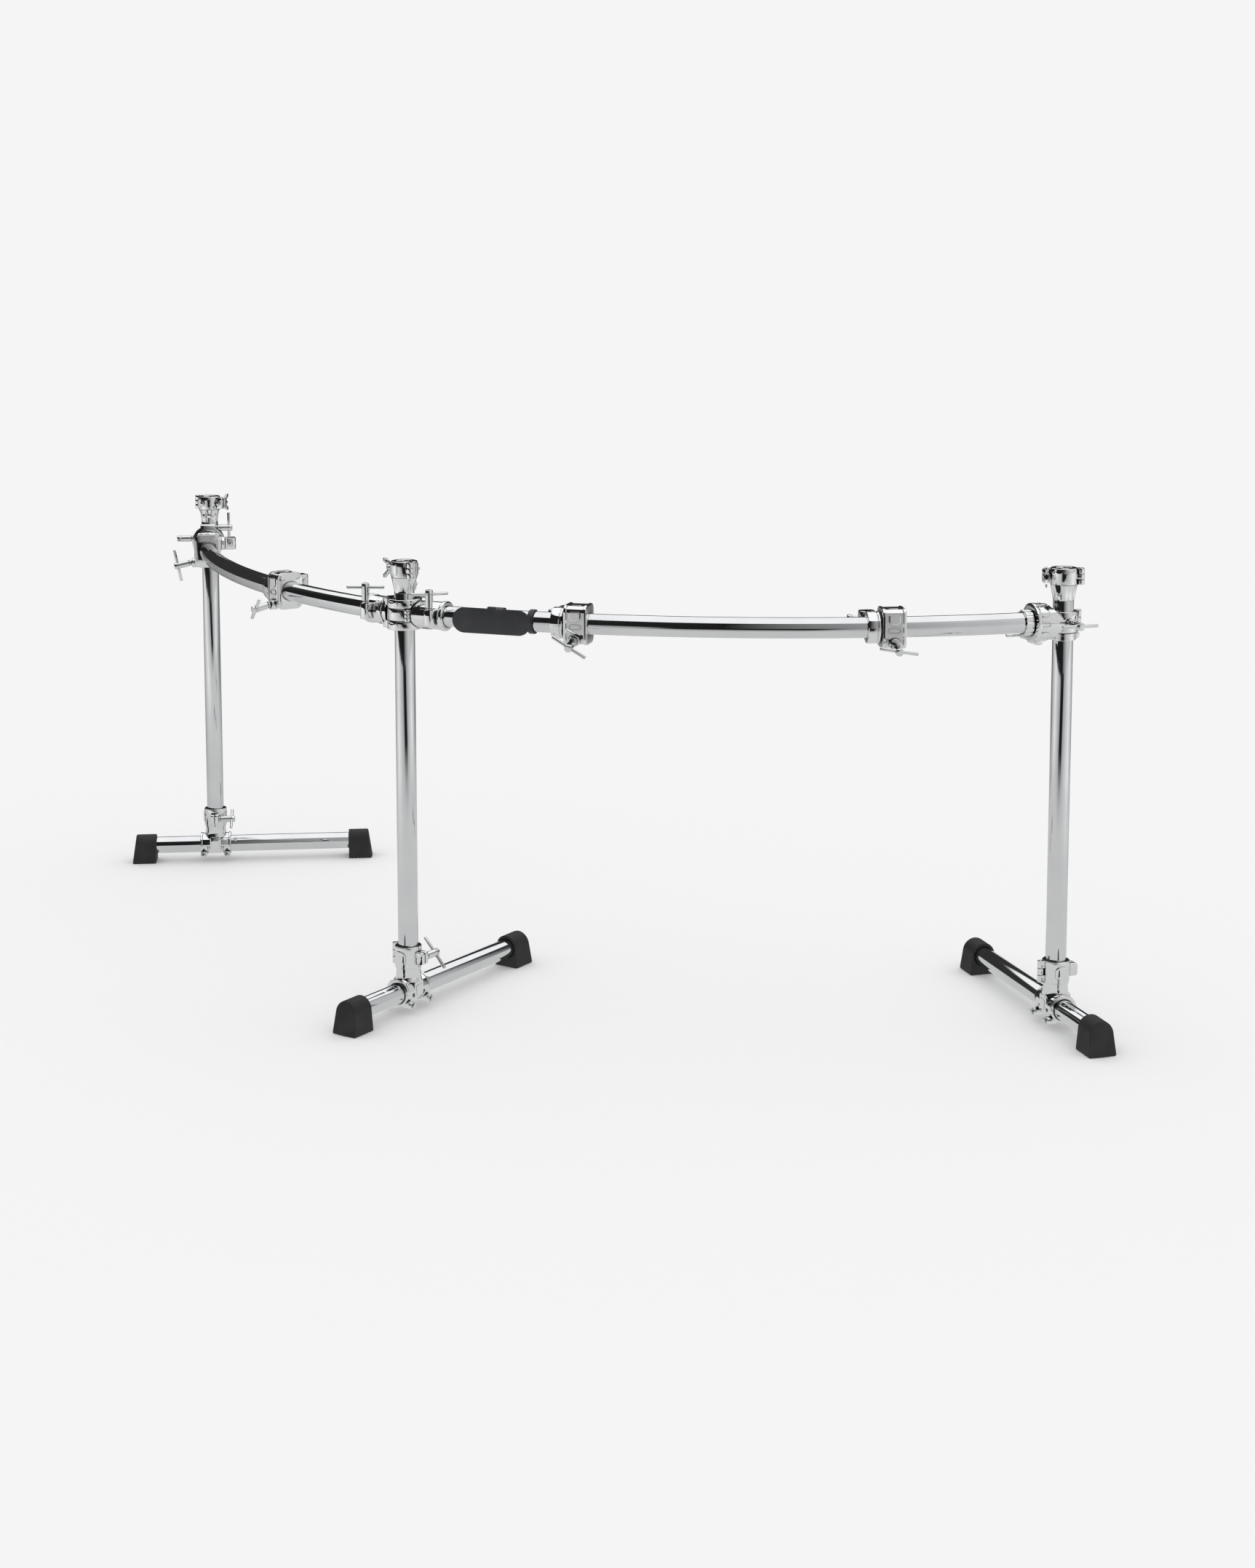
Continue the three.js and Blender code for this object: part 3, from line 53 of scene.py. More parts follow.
# Driving dimensions, in millimetres
MM = 0.001
TUBE_RADIUS = 19.05
TUBE_WALL = 1.6
BORE_RADIUS = 19.35
BAR_LENGTH = 1168.4
BEND_RADIUS = 1600.0
END_REACH = 42.0
CHORD_ANGLE = math.radians(29.4)
BAR_HEIGHT = 765.0
POST_TOP = 804.0
POST_BOTTOM = 66.0
FOOT_AXIS = 38.0
FOOT_TUBE_SHORT = 176.0
FOOT_TUBE_LONG = 349.0
BAR_SWEEP = BAR_LENGTH / BEND_RADIUS
LEAVE = CHORD_ANGLE - BAR_SWEEP / 2
ARRIVE = LEAVE + BAR_SWEEP
SPLIT = 1.6
NAMES = ("middle", "right", "left")

# Photograph's frame and the camera found from it
IMAGE_WIDTH = 1725
IMAGE_HEIGHT = 2156
FOCAL_PIXELS = 3294.2
AXIS_COLUMN = 862.0
AXIS_ROW = 700.0
SENSOR = 36.0


# Frames

class Place:
    """A local frame: an origin in metres and the three unit axes as the rows of a matrix."""

    def __init__(self, origin, x_axis, z_axis=(0.0, 0.0, 1.0)):
        z = np.array(z_axis, float)
        z /= np.linalg.norm(z)
        x = np.array(x_axis, float)
        x -= z * (x @ z)
        x /= np.linalg.norm(x)
        self.origin = np.array(origin, float)
        self.rows = np.array([x, np.cross(z, x), z])

    def points(self, local):
        return self.origin + MM * (local @ self.rows)


def heading(angle):
    """Unit vector in the floor plane at an angle from X."""
    return np.array([math.cos(angle), math.sin(angle), 0.0])


def moved(skins, at=(0.0, 0.0, 0.0), x=(1.0, 0.0, 0.0), z=(0.0, 0.0, 1.0)):
    """The same surfaces carried into a parent frame: local X and Z point along x and z there."""
    rows = Place((0, 0, 0), x, z).rows
    return [(points @ rows + np.array(at, float), faces) for points, faces in skins]


def bent(skins, change):
    """The same surfaces with every point array passed through a function."""
    return [(change(points), faces) for points, faces in skins]


# Outlines and surfaces

def fillet(corners, radius, steps=5):
    """Closed outline with each corner replaced by an arc tangent to its two sides."""
    c = np.array(corners, float)
    r = np.broadcast_to(np.array(radius, float), (len(c),)).copy()
    back = np.roll(c, 1, 0) - c
    ahead = np.roll(c, -1, 0) - c
    reach = np.minimum(np.linalg.norm(back, axis=1), np.linalg.norm(ahead, axis=1)) / 2.05
    back /= np.linalg.norm(back, axis=1)[:, None]
    ahead /= np.linalg.norm(ahead, axis=1)[:, None]
    angle = np.arccos(np.clip((back * ahead).sum(1), -0.9999, 0.9999))
    cut = np.minimum(r / np.tan(angle / 2), reach)
    r = cut * np.tan(angle / 2)
    middle = back + ahead
    middle /= np.linalg.norm(middle, axis=1)[:, None]
    centre = c + middle * (r / np.sin(angle / 2))[:, None]
    first = (c + back * cut[:, None] - centre)[:, None, :]
    last = (c + ahead * cut[:, None] - centre)[:, None, :]
    t = np.linspace(0, 1, steps)[None, :, None]
    sweep = (math.pi - angle)[:, None, None]
    turned_arm = (np.sin((1 - t) * sweep) * first + np.sin(t * sweep) * last) / np.sin(sweep)
    return (centre[:, None, :] + turned_arm).reshape(-1, 2)


def arc(radius, start, end, count, middle=(0.0, 0.0)):
    """Points at a constant radius between two angles in degrees."""
    t = np.radians(np.linspace(start, end, count))
    return np.stack([middle[0] + radius * np.cos(t), middle[1] + radius * np.sin(t)], 1)


def rectangle(half_x, half_y, radius, at=(0.0, 0.0), steps=5):
    corners = np.array([[1, -1], [1, 1], [-1, 1], [-1, -1]]) * [half_x, half_y] + np.array(at)
    return fillet(corners, radius, steps)


def inset(outline, depth):
    """Outline moved inwards by depth along the mean of its two side normals at each point."""
    side = np.roll(outline, -1, 0) - outline
    length = np.linalg.norm(side, axis=1, keepdims=True)
    side = side / np.where(length < 1e-9, 1, length)
    normal = np.stack([side[:, 1], -side[:, 0]], 1)
    mean = normal + np.roll(normal, 1, 0)
    share = np.maximum((mean * mean).sum(1, keepdims=True) / 2, 0.35)
    return outline - depth * mean / share


def skin(rings, ring_shut=True, ends="capped"):
    """Surface over a stack of rings (n, m, 3): quads between neighbours, and a flat face on each open end.
    With ends="joined" the last ring meets the first."""
    n, m = rings.shape[:2]
    rows = np.arange(n if ends == "joined" else n - 1)
    columns = np.arange(m if ring_shut else m - 1)
    i, j = np.meshgrid(rows, columns, indexing="ij")
    a = (i * m + j).ravel()
    b = (i * m + (j + 1) % m).ravel()
    c = ((i + 1) % n * m + (j + 1) % m).ravel()
    d = ((i + 1) % n * m + j).ravel()
    faces = np.stack([a, b, c, d], 1).tolist()
    if ends == "capped":
        faces += [list(range(m))[::-1], list(range((n - 1) * m, n * m))]
    return [(rings.reshape(-1, 3), faces)]


def pillow(outline, low, high, edge=0.8, steps=3):
    """Outline carried along Z between two heights, its rims rounded by a quarter circle of radius edge."""
    t = np.linspace(0, math.pi / 2, steps)
    depth = np.concatenate([edge * (1 - np.sin(t)), edge * (1 - np.sin(t[::-1]))])
    height = np.concatenate([low + edge * (1 - np.cos(t)), high - edge * (1 - np.cos(t[::-1]))])
    rings = [np.column_stack([inset(outline, d), np.full(len(outline), z)]) for d, z in zip(depth, height)]
    return skin(np.array(rings))


def turned(profile, sides=48):
    """Profile of (radius, height) points, bottom first, turned about Z and closed flat at both ends."""
    p = np.array(profile, float)
    t = np.linspace(0, 2 * math.pi, sides, endpoint=False)
    x = p[:, 0, None] * np.cos(t)
    y = p[:, 0, None] * np.sin(t)
    return skin(np.stack([x, y, np.broadcast_to(p[:, 1, None], x.shape)], 2))


def hoop(loop, start=0.0, end=360.0, sides=72):
    """Closed profile of (radius, height) points turned about Z between two angles in degrees."""
    whole = end - start > 359.9
    t = np.radians(np.linspace(start, end, sides, endpoint=not whole))
    r = loop[None, :, 0]
    rings = np.stack([r * np.cos(t)[:, None], r * np.sin(t)[:, None],
                      np.broadcast_to(loop[None, :, 1], (len(t), len(loop)))], 2)
    return skin(rings, ends="joined" if whole else "capped")


def rod(radius, low, high, edge=0.6, sides=32):
    """Straight round rod along Z with rounded rims: a turned profile of two quarter circles."""
    t = np.linspace(0, math.pi / 2, 4)
    lower = np.stack([radius - edge + edge * np.sin(t), low + edge - edge * np.cos(t)], 1)
    upper = np.stack([radius - edge + edge * np.cos(t), high - edge + edge * np.sin(t)], 1)
    return turned(np.concatenate([lower, upper]), sides)


def hexagon(across_flats, low, high, edge=0.7):
    """Hexagonal head along Z: six-sided outline with its corners softened and its rims chamfered."""
    corner = across_flats / math.sqrt(3)
    turn = np.radians(np.arange(6) * 60)
    outline = fillet(np.stack([corner * np.cos(turn), corner * np.sin(turn)], 1), 0.5, 3)
    return pillow(outline, low, high, edge, 3)


def band_loop(inner, outer, low, high, edge=1.0):
    """Rounded rectangle as a (radius, height) loop between two radii and two heights."""
    middle = ((inner + outer) / 2, (low + high) / 2)
    return rectangle((outer - inner) / 2, (high - low) / 2, edge, middle, 4)


def make(name, skins, place, material, body, replaces=(), sharp=32.0):
    """Mesh of the surfaces, placed in the rack's frame, its faces turned outwards and smoothed
    except across edges sharper than an angle in degrees."""
    points, faces, count = [], [], 0
    for local, local_faces in skins:
        points.append(place.points(local))
        faces += [[index + count for index in face] for face in local_faces]
        count += len(local)
    mesh = bpy.data.meshes.new(name)
    mesh.from_pydata(np.concatenate(points).tolist(), [], faces)
    work = bmesh.new()
    work.from_mesh(mesh)
    bmesh.ops.recalc_face_normals(work, faces=work.faces)
    work.to_mesh(mesh)
    work.free()
    mesh.polygons.foreach_set("use_smooth", np.ones(len(mesh.polygons), bool))
    mesh.set_sharp_from_angle(angle=math.radians(sharp))
    mesh.materials.append(material)
    piece = bpy.data.objects.new(name, mesh)
    bpy.context.scene.collection.objects.link(piece)
    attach(piece, body)
    if replaces:
        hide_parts(*replaces)
    return piece


# Materials

def node_group(name, inputs, outputs):
    group = bpy.data.node_groups.new(name, "ShaderNodeTree")
    for label, value in inputs:
        socket = group.interface.new_socket(label, in_out="INPUT", socket_type="NodeSocketFloat")
        socket.default_value = value
    for label, kind in outputs:
        group.interface.new_socket(label, in_out="OUTPUT", socket_type=kind)
    return group, group.nodes.new("NodeGroupInput"), group.nodes.new("NodeGroupOutput")


def noise(tree, coordinates, scale, detail=2.0, stretch=None):
    if stretch is not None:
        mapping = tree.nodes.new("ShaderNodeMapping")
        mapping.inputs["Scale"].default_value = stretch
        tree.links.new(coordinates, mapping.inputs["Vector"])
        coordinates = mapping.outputs["Vector"]
    node = tree.nodes.new("ShaderNodeTexNoise")
    node.inputs["Scale"].default_value = scale
    node.inputs["Detail"].default_value = detail
    tree.links.new(coordinates, node.inputs["Vector"])
    return node.outputs["Fac"]


def remap(tree, value, low, high, from_low=0.0, from_high=1.0):
    node = tree.nodes.new("ShaderNodeMapRange")
    node.inputs["From Min"].default_value = from_low
    node.inputs["From Max"].default_value = from_high
    for label, amount in (("To Min", low), ("To Max", high)):
        if hasattr(amount, "is_linked"):
            tree.links.new(amount, node.inputs[label])
        else:
            node.inputs[label].default_value = amount
    tree.links.new(value, node.inputs["Value"])
    return node.outputs["Result"]


def soft_step(tree, value, low, high):
    node = tree.nodes.new("ShaderNodeMapRange")
    node.interpolation_type = "SMOOTHSTEP"
    for label, amount in (("Value", value), ("From Min", low), ("From Max", high)):
        if hasattr(amount, "is_linked"):
            tree.links.new(amount, node.inputs[label])
        else:
            node.inputs[label].default_value = amount
    return node.outputs["Result"]


def mix_colour(tree, factor, first, second):
    node = tree.nodes.new("ShaderNodeMix")
    node.data_type = "RGBA"
    tree.links.new(factor, node.inputs["Factor"])
    for index, colour in ((6, first), (7, second)):
        if hasattr(colour, "is_linked"):
            tree.links.new(colour, node.inputs[index])
        else:
            node.inputs[index].default_value = (*colour, 1.0)
    return node.outputs[2]


def plating_group():
    """Plated surface: haze in soft patches, fine polishing streaks and a slow waviness of the metal."""
    group, given, out = node_group(
        "plating", [("Clear", 0.05), ("Hazy", 0.12), ("Wave Size", 60.0)],
        [("Roughness", "NodeSocketFloat"), ("Tone", "NodeSocketFloat"), ("Height", "NodeSocketFloat")])
    where = group.nodes.new("ShaderNodeTexCoord").outputs["Object"]
    patches = noise(group, where, 14.0, 4.0)
    streaks = noise(group, where, 260.0, 3.0, (1.0, 1.0, 0.12))
    both = group.nodes.new("ShaderNodeMath")
    both.operation = "MULTIPLY"
    group.links.new(patches, both.inputs[0])
    group.links.new(streaks, both.inputs[1])
    group.links.new(remap(group, both.outputs[0], given.outputs["Clear"], given.outputs["Hazy"], 0.15, 0.42),
                    out.inputs["Roughness"])
    group.links.new(remap(group, patches, 0.0, 1.0, 0.35, 0.65), out.inputs["Tone"])
    wave = group.nodes.new("ShaderNodeTexNoise")
    wave.inputs["Detail"].default_value = 1.0
    group.links.new(where, wave.inputs["Vector"])
    group.links.new(given.outputs["Wave Size"], wave.inputs["Scale"])
    group.links.new(wave.outputs["Fac"], out.inputs["Height"])
    return group


def new_material(name):
    material = bpy.data.materials.new(name)
    material.use_nodes = True
    tree = material.node_tree
    return material, tree, tree.nodes["Principled BSDF"]


def bump(tree, shader, height, strength, distance):
    node = tree.nodes.new("ShaderNodeBump")
    node.inputs["Strength"].default_value = strength
    node.inputs["Distance"].default_value = distance
    tree.links.new(height, node.inputs["Height"])
    tree.links.new(node.outputs["Normal"], shader.inputs["Normal"])


PLATING = plating_group()


# Painted shade, which darkens the colour of plated parts in their seams and corners
PAINTED_CREASE_SHADE = (0.012, 0.012, 0.013)
CREASE_SHADE_SAMPLES = 8
# Openness of a place at which the painted shade is at its darkest, and at which it has gone
CREASE_SHUT = 0.38
CREASE_OPEN = 0.9


def creased(tree, colour, reach):
    """Colour with painted shade: it falls to near black in seams and corners, where other faces stand within
    reach.
    """
    node = tree.nodes.new("ShaderNodeAmbientOcclusion")
    node.samples = CREASE_SHADE_SAMPLES
    node.inputs["Distance"].default_value = reach * MM
    openness = soft_step(tree, node.outputs["AO"], CREASE_SHUT, CREASE_OPEN)
    return mix_colour(tree, openness, PAINTED_CREASE_SHADE, colour)


def plated(name, bright, dull, clear, hazy, wave_size, wave_height, shade_reach=0.0):
    """Chrome plate: metal whose tone and haze vary a little, over a faintly wavy base. With a shade reach
    in mm, painted shade darkens its seams and corners."""
    material, tree, shader = new_material(name)
    shader.inputs["Metallic"].default_value = 1.0
    group = tree.nodes.new("ShaderNodeGroup")
    group.node_tree = PLATING
    group.inputs["Clear"].default_value = clear
    group.inputs["Hazy"].default_value = hazy
    group.inputs["Wave Size"].default_value = wave_size
    colour = mix_colour(tree, group.outputs["Tone"], bright, dull)
    # Painted shade darkens the colour in seams and corners
    if shade_reach:
        colour = creased(tree, colour, shade_reach)
    tree.links.new(colour, shader.inputs["Base Color"])
    tree.links.new(group.outputs["Roughness"], shader.inputs["Roughness"])
    bump(tree, shader, group.outputs["Height"], 0.35, wave_height)
    return material


def moulded(name, dark, light, low, high, grain_size, grain_height):
    """Moulded rubber or plastic: dark, scuffed lighter in patches, with a fine grain."""
    material, tree, shader = new_material(name)
    where = tree.nodes.new("ShaderNodeTexCoord").outputs["Object"]
    scuffs = noise(tree, where, 30.0, 6.0)
    grain = noise(tree, where, grain_size, 3.0)
    scuffed = remap(tree, scuffs, 0.0, 1.0, 0.45, 0.8)
    tree.links.new(mix_colour(tree, scuffed, dark, light), shader.inputs["Base Color"])
    tree.links.new(remap(tree, scuffs, low, high), shader.inputs["Roughness"])
    bump(tree, shader, grain, 0.5, grain_height)
    return material


TUBE_CHROME = plated("tube_chrome", (0.90, 0.91, 0.92), (0.84, 0.85, 0.87), 0.03, 0.09, 9.0, 0.0004)
# Cast and screw chrome: painted shade darkens their seams and corners, within 7 mm and 4 mm
CAST_CHROME = plated("cast_chrome", (0.985, 0.985, 0.99), (0.955, 0.96, 0.965), 0.02, 0.06, 55.0, 0.0003,
                     7.0)
SCREW_CHROME = plated("screw_chrome", (0.93, 0.94, 0.95), (0.86, 0.87, 0.88), 0.03, 0.09, 90.0, 0.0002,
                      4.0)
RUBBER_BLACK = moulded("foot_rubber", (0.017, 0.017, 0.018), (0.03, 0.03, 0.032), 0.55, 0.75, 900.0, 0.0003)
PLATE_PLASTIC = moulded("plate_plastic", (0.028, 0.029, 0.032), (0.042, 0.043, 0.047), 0.34, 0.5, 1400.0,
                        0.0001)


# Places of the posts, legs and clamps, taken from the joints

MIDDLE = np.array(joints["right_wing_swing"]["pos_m"]) * [1, 1, 0]
POSTS = {
    "middle": MIDDLE,
    "right": np.array(joints["right_leg_turn"]["pos_m"]) * [1, 1, 0],
    "left": np.array(joints["left_leg_turn"]["pos_m"]) * [1, 1, 0],
}
SIDES = {"right": 1, "left": -1}


def leg_place(name):
    """Frame of a leg: Y along its foot tube towards the player, origin on the floor under the post."""
    along = np.array(joints[f"{name}_foot_slide"]["axis"])
    return Place(POSTS[name], np.cross(along, [0, 0, 1]))


def bar_point(place, side):
    """Point on a bar's axis in metres: a straight reach from the middle post, then an arc."""
    angle = LEAVE + place / BEND_RADIUS
    x = END_REACH * math.cos(LEAVE) + BEND_RADIUS * (math.sin(angle) - math.sin(LEAVE))
    y = END_REACH * math.sin(LEAVE) - BEND_RADIUS * (math.cos(angle) - math.cos(LEAVE))
    return MIDDLE + MM * np.array([side * x, y, BAR_HEIGHT])


def bar_place(place, side):
    """Frame on a bar: X along it, Y towards the player."""
    return Place(bar_point(place, side), heading(side * (LEAVE + place / BEND_RADIUS)))


# Small shapes shared by the castings

def block(low, high, corner=1.5, edge=1.0, along="z"):
    """Rounded box between two corners, its rounded outline carried along one axis."""
    low, high = np.array(low, float), np.array(high, float)
    half = (high - low) / 2
    first, second, depth = {"x": (1, 2, 0), "y": (0, 2, 1), "z": (0, 1, 2)}[along]
    outline = rectangle(half[first], half[second], corner)
    axes = np.eye(3)
    solid = pillow(outline, -half[depth], half[depth], edge)
    return moved(solid, (low + high) / 2, axes[first], axes[depth])


def rod_between(start, end, radius, edge=0.6, sides=32):
    """Round rod with rounded rims between two points."""
    start, end = np.array(start, float), np.array(end, float)
    axis = end - start
    length = float(np.linalg.norm(axis))
    return moved(rod(radius, 0, length, edge, sides), start, np.roll(axis, 1) + [0.1, 0.2, 0.3], axis)


def hex_bolt(at, axis, across=8.0, height=4.5, washer=6.5):
    """Hex head on a thin washer, standing on a face at a point and pointing along an axis."""
    x = np.roll(np.array(axis, float), 1)
    return moved(rod(washer, -0.4, 1.2, 0.3, 28) + hexagon(across, 1.1, 1.1 + height), at, x, axis)


def key_screw(at, axis, reach=7.0):
    """Drum-key screw: a round collar and a square head, pointing along an axis."""
    x = np.roll(np.array(axis, float), 1)
    square = pillow(rectangle(2.9, 2.9, 0.5), 1.5, reach, 0.5)
    return moved(rod(4.6, -0.4, 1.8, 0.5, 28) + square, at, x, axis)


def pad(outline, rise, edge=0.7):
    """Raised pad: outline lifted over a face, its rim rounded and its top filled by shrinking rings."""
    middle = outline.mean(0)
    rings = [(outline, -1.2), (outline, rise - edge), (inset(outline, edge * 0.3), rise - edge * 0.3),
             (inset(outline, edge), rise)]
    inner = rings[-1][0]
    rings += [(middle + (inner - middle) * share, rise) for share in (0.8, 0.6, 0.4, 0.2, 0.04)]
    return skin(np.array([np.column_stack([flat, np.full(len(flat), z)]) for flat, z in rings]))


def tongue(half_width, low, high, corner=2.0):
    """Pad outline with a round end at low and square shoulders at high, across X."""
    corners = [(low, -half_width), (high, -half_width), (high, half_width), (low, half_width)]
    return fillet(corners, [half_width * 0.85, corner, corner, half_width * 0.85], 7)


def stadium(half_length, radius, steps=9):
    """Outline with two straight sides along X and round ends."""
    right = arc(radius, -90, 90, steps, (half_length - radius, 0.0))
    left = arc(radius, 90, 270, steps, (radius - half_length, 0.0))
    return np.concatenate([right, left])


def oval_frame(half_length, radius, width=1.6, rise=0.9):
    """Bare raised oval rim: a stadium band standing on a face."""
    outer = stadium(half_length, radius)
    rings = [(outer, -1.0), (outer, rise), (inset(outer, width), rise), (inset(outer, width), -1.0)]
    rings = np.array([np.column_stack([flat, np.full(len(flat), z)]) for flat, z in rings])
    return skin(rings, ends="joined")


def on_barrel(skins, radius, angle, along):
    """Flat surfaces laid on a barrel along X: local X runs round it from an angle in degrees,
    local Y along it and local Z out from it."""
    def lay(p):
        turn = math.radians(angle) + p[:, 0] / radius
        out = radius + p[:, 2]
        return np.stack([along + p[:, 1], out * np.cos(turn), out * np.sin(turn)], 1)
    return bent(skins, lay)


def sleeve(outline, stations, bore, centre=(0.0, 0.0)):
    """Outline carried along Z through (height, inset) stations, with a round bore from end to end."""
    middle = np.array(centre, float)
    arm = outline - middle
    circle = middle + bore * arm / np.linalg.norm(arm, axis=1, keepdims=True)
    rings = [(inset(outline, depth), z) for z, depth in stations]
    rings += [(circle, stations[-1][0]), (circle, stations[0][0])]
    return skin(np.array([np.column_stack([flat, np.full(len(flat), z)]) for flat, z in rings]),
                ends="joined")


def notched_circle(radius, depth, notches, sides=180):
    """Circle whose radius drops by a depth in evenly spaced notches."""
    turn = np.linspace(0, 2 * math.pi, sides, endpoint=False)
    drop = depth / (1 + np.exp(-14 * (np.cos(turn * notches) - 0.35)))
    return np.stack([(radius - drop) * np.cos(turn), (radius - drop) * np.sin(turn)], 1)


# Tubes

def straight_tube(low, high, sides=96):
    """Open tube along Z: a thin rounded rectangle in radius and height, turned about the axis."""
    return hoop(band_loop(TUBE_RADIUS - TUBE_WALL, TUBE_RADIUS, low, high, 0.5), sides=sides)


def bent_tube(side, steps=160, sides=72):
    """Bar: a ring section carried along an arc of constant radius, outer wall and inner wall joined at
    both ends. Worked out in the frame of the bar's inner end, X along the bar."""
    place = np.linspace(0, BAR_LENGTH, steps)
    angle = place / BEND_RADIUS
    centre = np.stack([BEND_RADIUS * np.sin(angle), side * BEND_RADIUS * (1 - np.cos(angle))], 1)
    across = np.stack([-side * np.sin(angle), np.cos(angle)], 1)
    t = np.linspace(0, 2 * math.pi, sides, endpoint=False)
    walls = []
    for radius in (TUBE_RADIUS, TUBE_RADIUS - TUBE_WALL):
        flat = centre[:, None, :] + radius * np.cos(t)[None, :, None] * across[:, None, :]
        height = np.broadcast_to(radius * np.sin(t), flat.shape[:2])
        walls.append(np.concatenate([flat, height[:, :, None]], 2))
    return skin(np.concatenate([walls[0], walls[1][::-1]]), ends="joined")


# T-bolts and wing screws, along Z with their bearing faces at zero

T_BOLT = SimpleNamespace(shank=3.9, neck=5.4, neck_length=4.0, barrel=7.2, barrel_length=34.0,
                         handle=3.2, handle_length=71.0, handle_inset=8.0, collar=6.8)


def t_bolt(shank_length):
    """T-bolt with a collared neck, a rounded barrel and a cross handle along X."""
    b = T_BOLT
    top = b.neck_length + b.barrel_length
    profile = [(b.shank * 0.7, -shank_length), (b.shank, 1 - shank_length), (b.shank, 0),
               (b.collar - 0.5, 0), (b.collar, 0.5), (b.collar, 2.1), (b.collar - 0.5, 2.6),
               (b.neck, 2.8), (b.neck, b.neck_length), (b.barrel - 0.8, 4.5), (b.barrel, 5.6),
               (b.barrel, top - 9), (b.barrel - 0.5, top - 8.7), (b.barrel - 0.5, top - 8.1),
               (b.barrel, top - 7.8), (b.barrel, top - 2.2), (b.barrel - 0.5, top - 0.9),
               (b.barrel - 1.6, top - 0.2), (b.barrel - 3.2, top)]
    half = b.handle_length / 2
    height = top - b.handle_inset
    return turned(profile, 40) + rod_between((-half, 0, height), (half, 0, height), b.handle, 1.4, 24)


WING = SimpleNamespace(shank=3.9, hub=6.5, hub_length=13.0, span=19.0, thickness=4.0, start=3.0,
                       rise=11.0, tip=21.0, top=12.9)


def wing_screw(shank_length):
    """Wing screw: a waisted hub and two raised wings in the XZ plane."""
    w = WING
    hub = turned([(w.shank * 0.7, -shank_length), (w.shank, 1 - shank_length), (w.shank, 0), (w.hub, 0),
                  (w.hub, 2.0), (w.hub - 1, 3.2), (w.hub - 1, w.hub_length - 2), (w.hub - 2, w.hub_length)],
                  32)
    half = [(w.hub, w.start), (w.span, w.start + w.rise), (w.span, w.tip), (w.top, w.tip),
            (w.hub - 2, w.hub_length - 1)]
    outline = fillet(half + [(-x, y) for x, y in half[::-1]], 2.0, 5)
    blades = pillow(outline, -w.thickness / 2, w.thickness / 2, 1.3)
    return hub + moved(blades, (0, 0, 0), (1, 0, 0), (0, -1, 0))


# Split collars, which the foot clamps and the rod clamps share

def collar_half(size, side, boss_rim=1.2):
    """Half of a split collar on the side of Y that side gives, with its bolt lug at +X and its hinge
    knuckles at -X. The fixed half, at side -1, has the outer two knuckles."""
    s = size
    start, end = (180, 360) if side < 0 else (0, 180)
    gap = math.degrees(SPLIT / 2 / s.outer)
    third = (s.high - s.low) / 3
    middle = (s.low + s.high) / 2
    shell = hoop(band_loop(s.bore, s.outer, s.low, s.high, boss_rim), start + gap, end - gap, 48)
    lug = block((s.bore + 1, SPLIT / 2, middle - s.lug_height),
                (s.lug_reach, s.lug_depth, middle + s.lug_height),
                4.5, 1.0, "y")
    if side < 0:
        lug = moved(lug, (0, -SPLIT / 2 - s.lug_depth, 0))
    joints_at = ((s.low, s.low + third), (s.high - third, s.high))
    if side > 0:
        joints_at = ((s.low + third + 0.3, s.high - third - 0.3),)
    parts = shell + lug
    for low, high in joints_at:
        parts += moved(rod(s.hinge, low, high, 0.8, 32), (-s.hinge_at, 0, 0))
        web = block((-s.hinge_at, SPLIT / 2, low), (-s.bore - 1, s.hinge, high), 1.0, 0.8, "z")
        parts += web if side > 0 else moved(web, (0, -SPLIT / 2 - s.hinge, 0))
    return parts


FOOT = SimpleNamespace(bore=BORE_RADIUS, outer=25.5, low=84.3, high=125.0, lug_reach=41.0, lug_depth=9.0,
                       lug_height=12.0, bolt_at=33.0, hinge_at=31.0, hinge=6.0, pin=2.5, pad=13.0,
                       neck=24.5, saddle=26.0, saddle_half=35.0, strap=25.0, strap_width=16.0, web=22.5,
                       strap_lug=7.5, strap_reach=32.0, strap_lug_at=10.0, strap_height=18.5)
FOOT_TURNS = {"middle": 48.0, "right": 48.0, "left": 22.0}


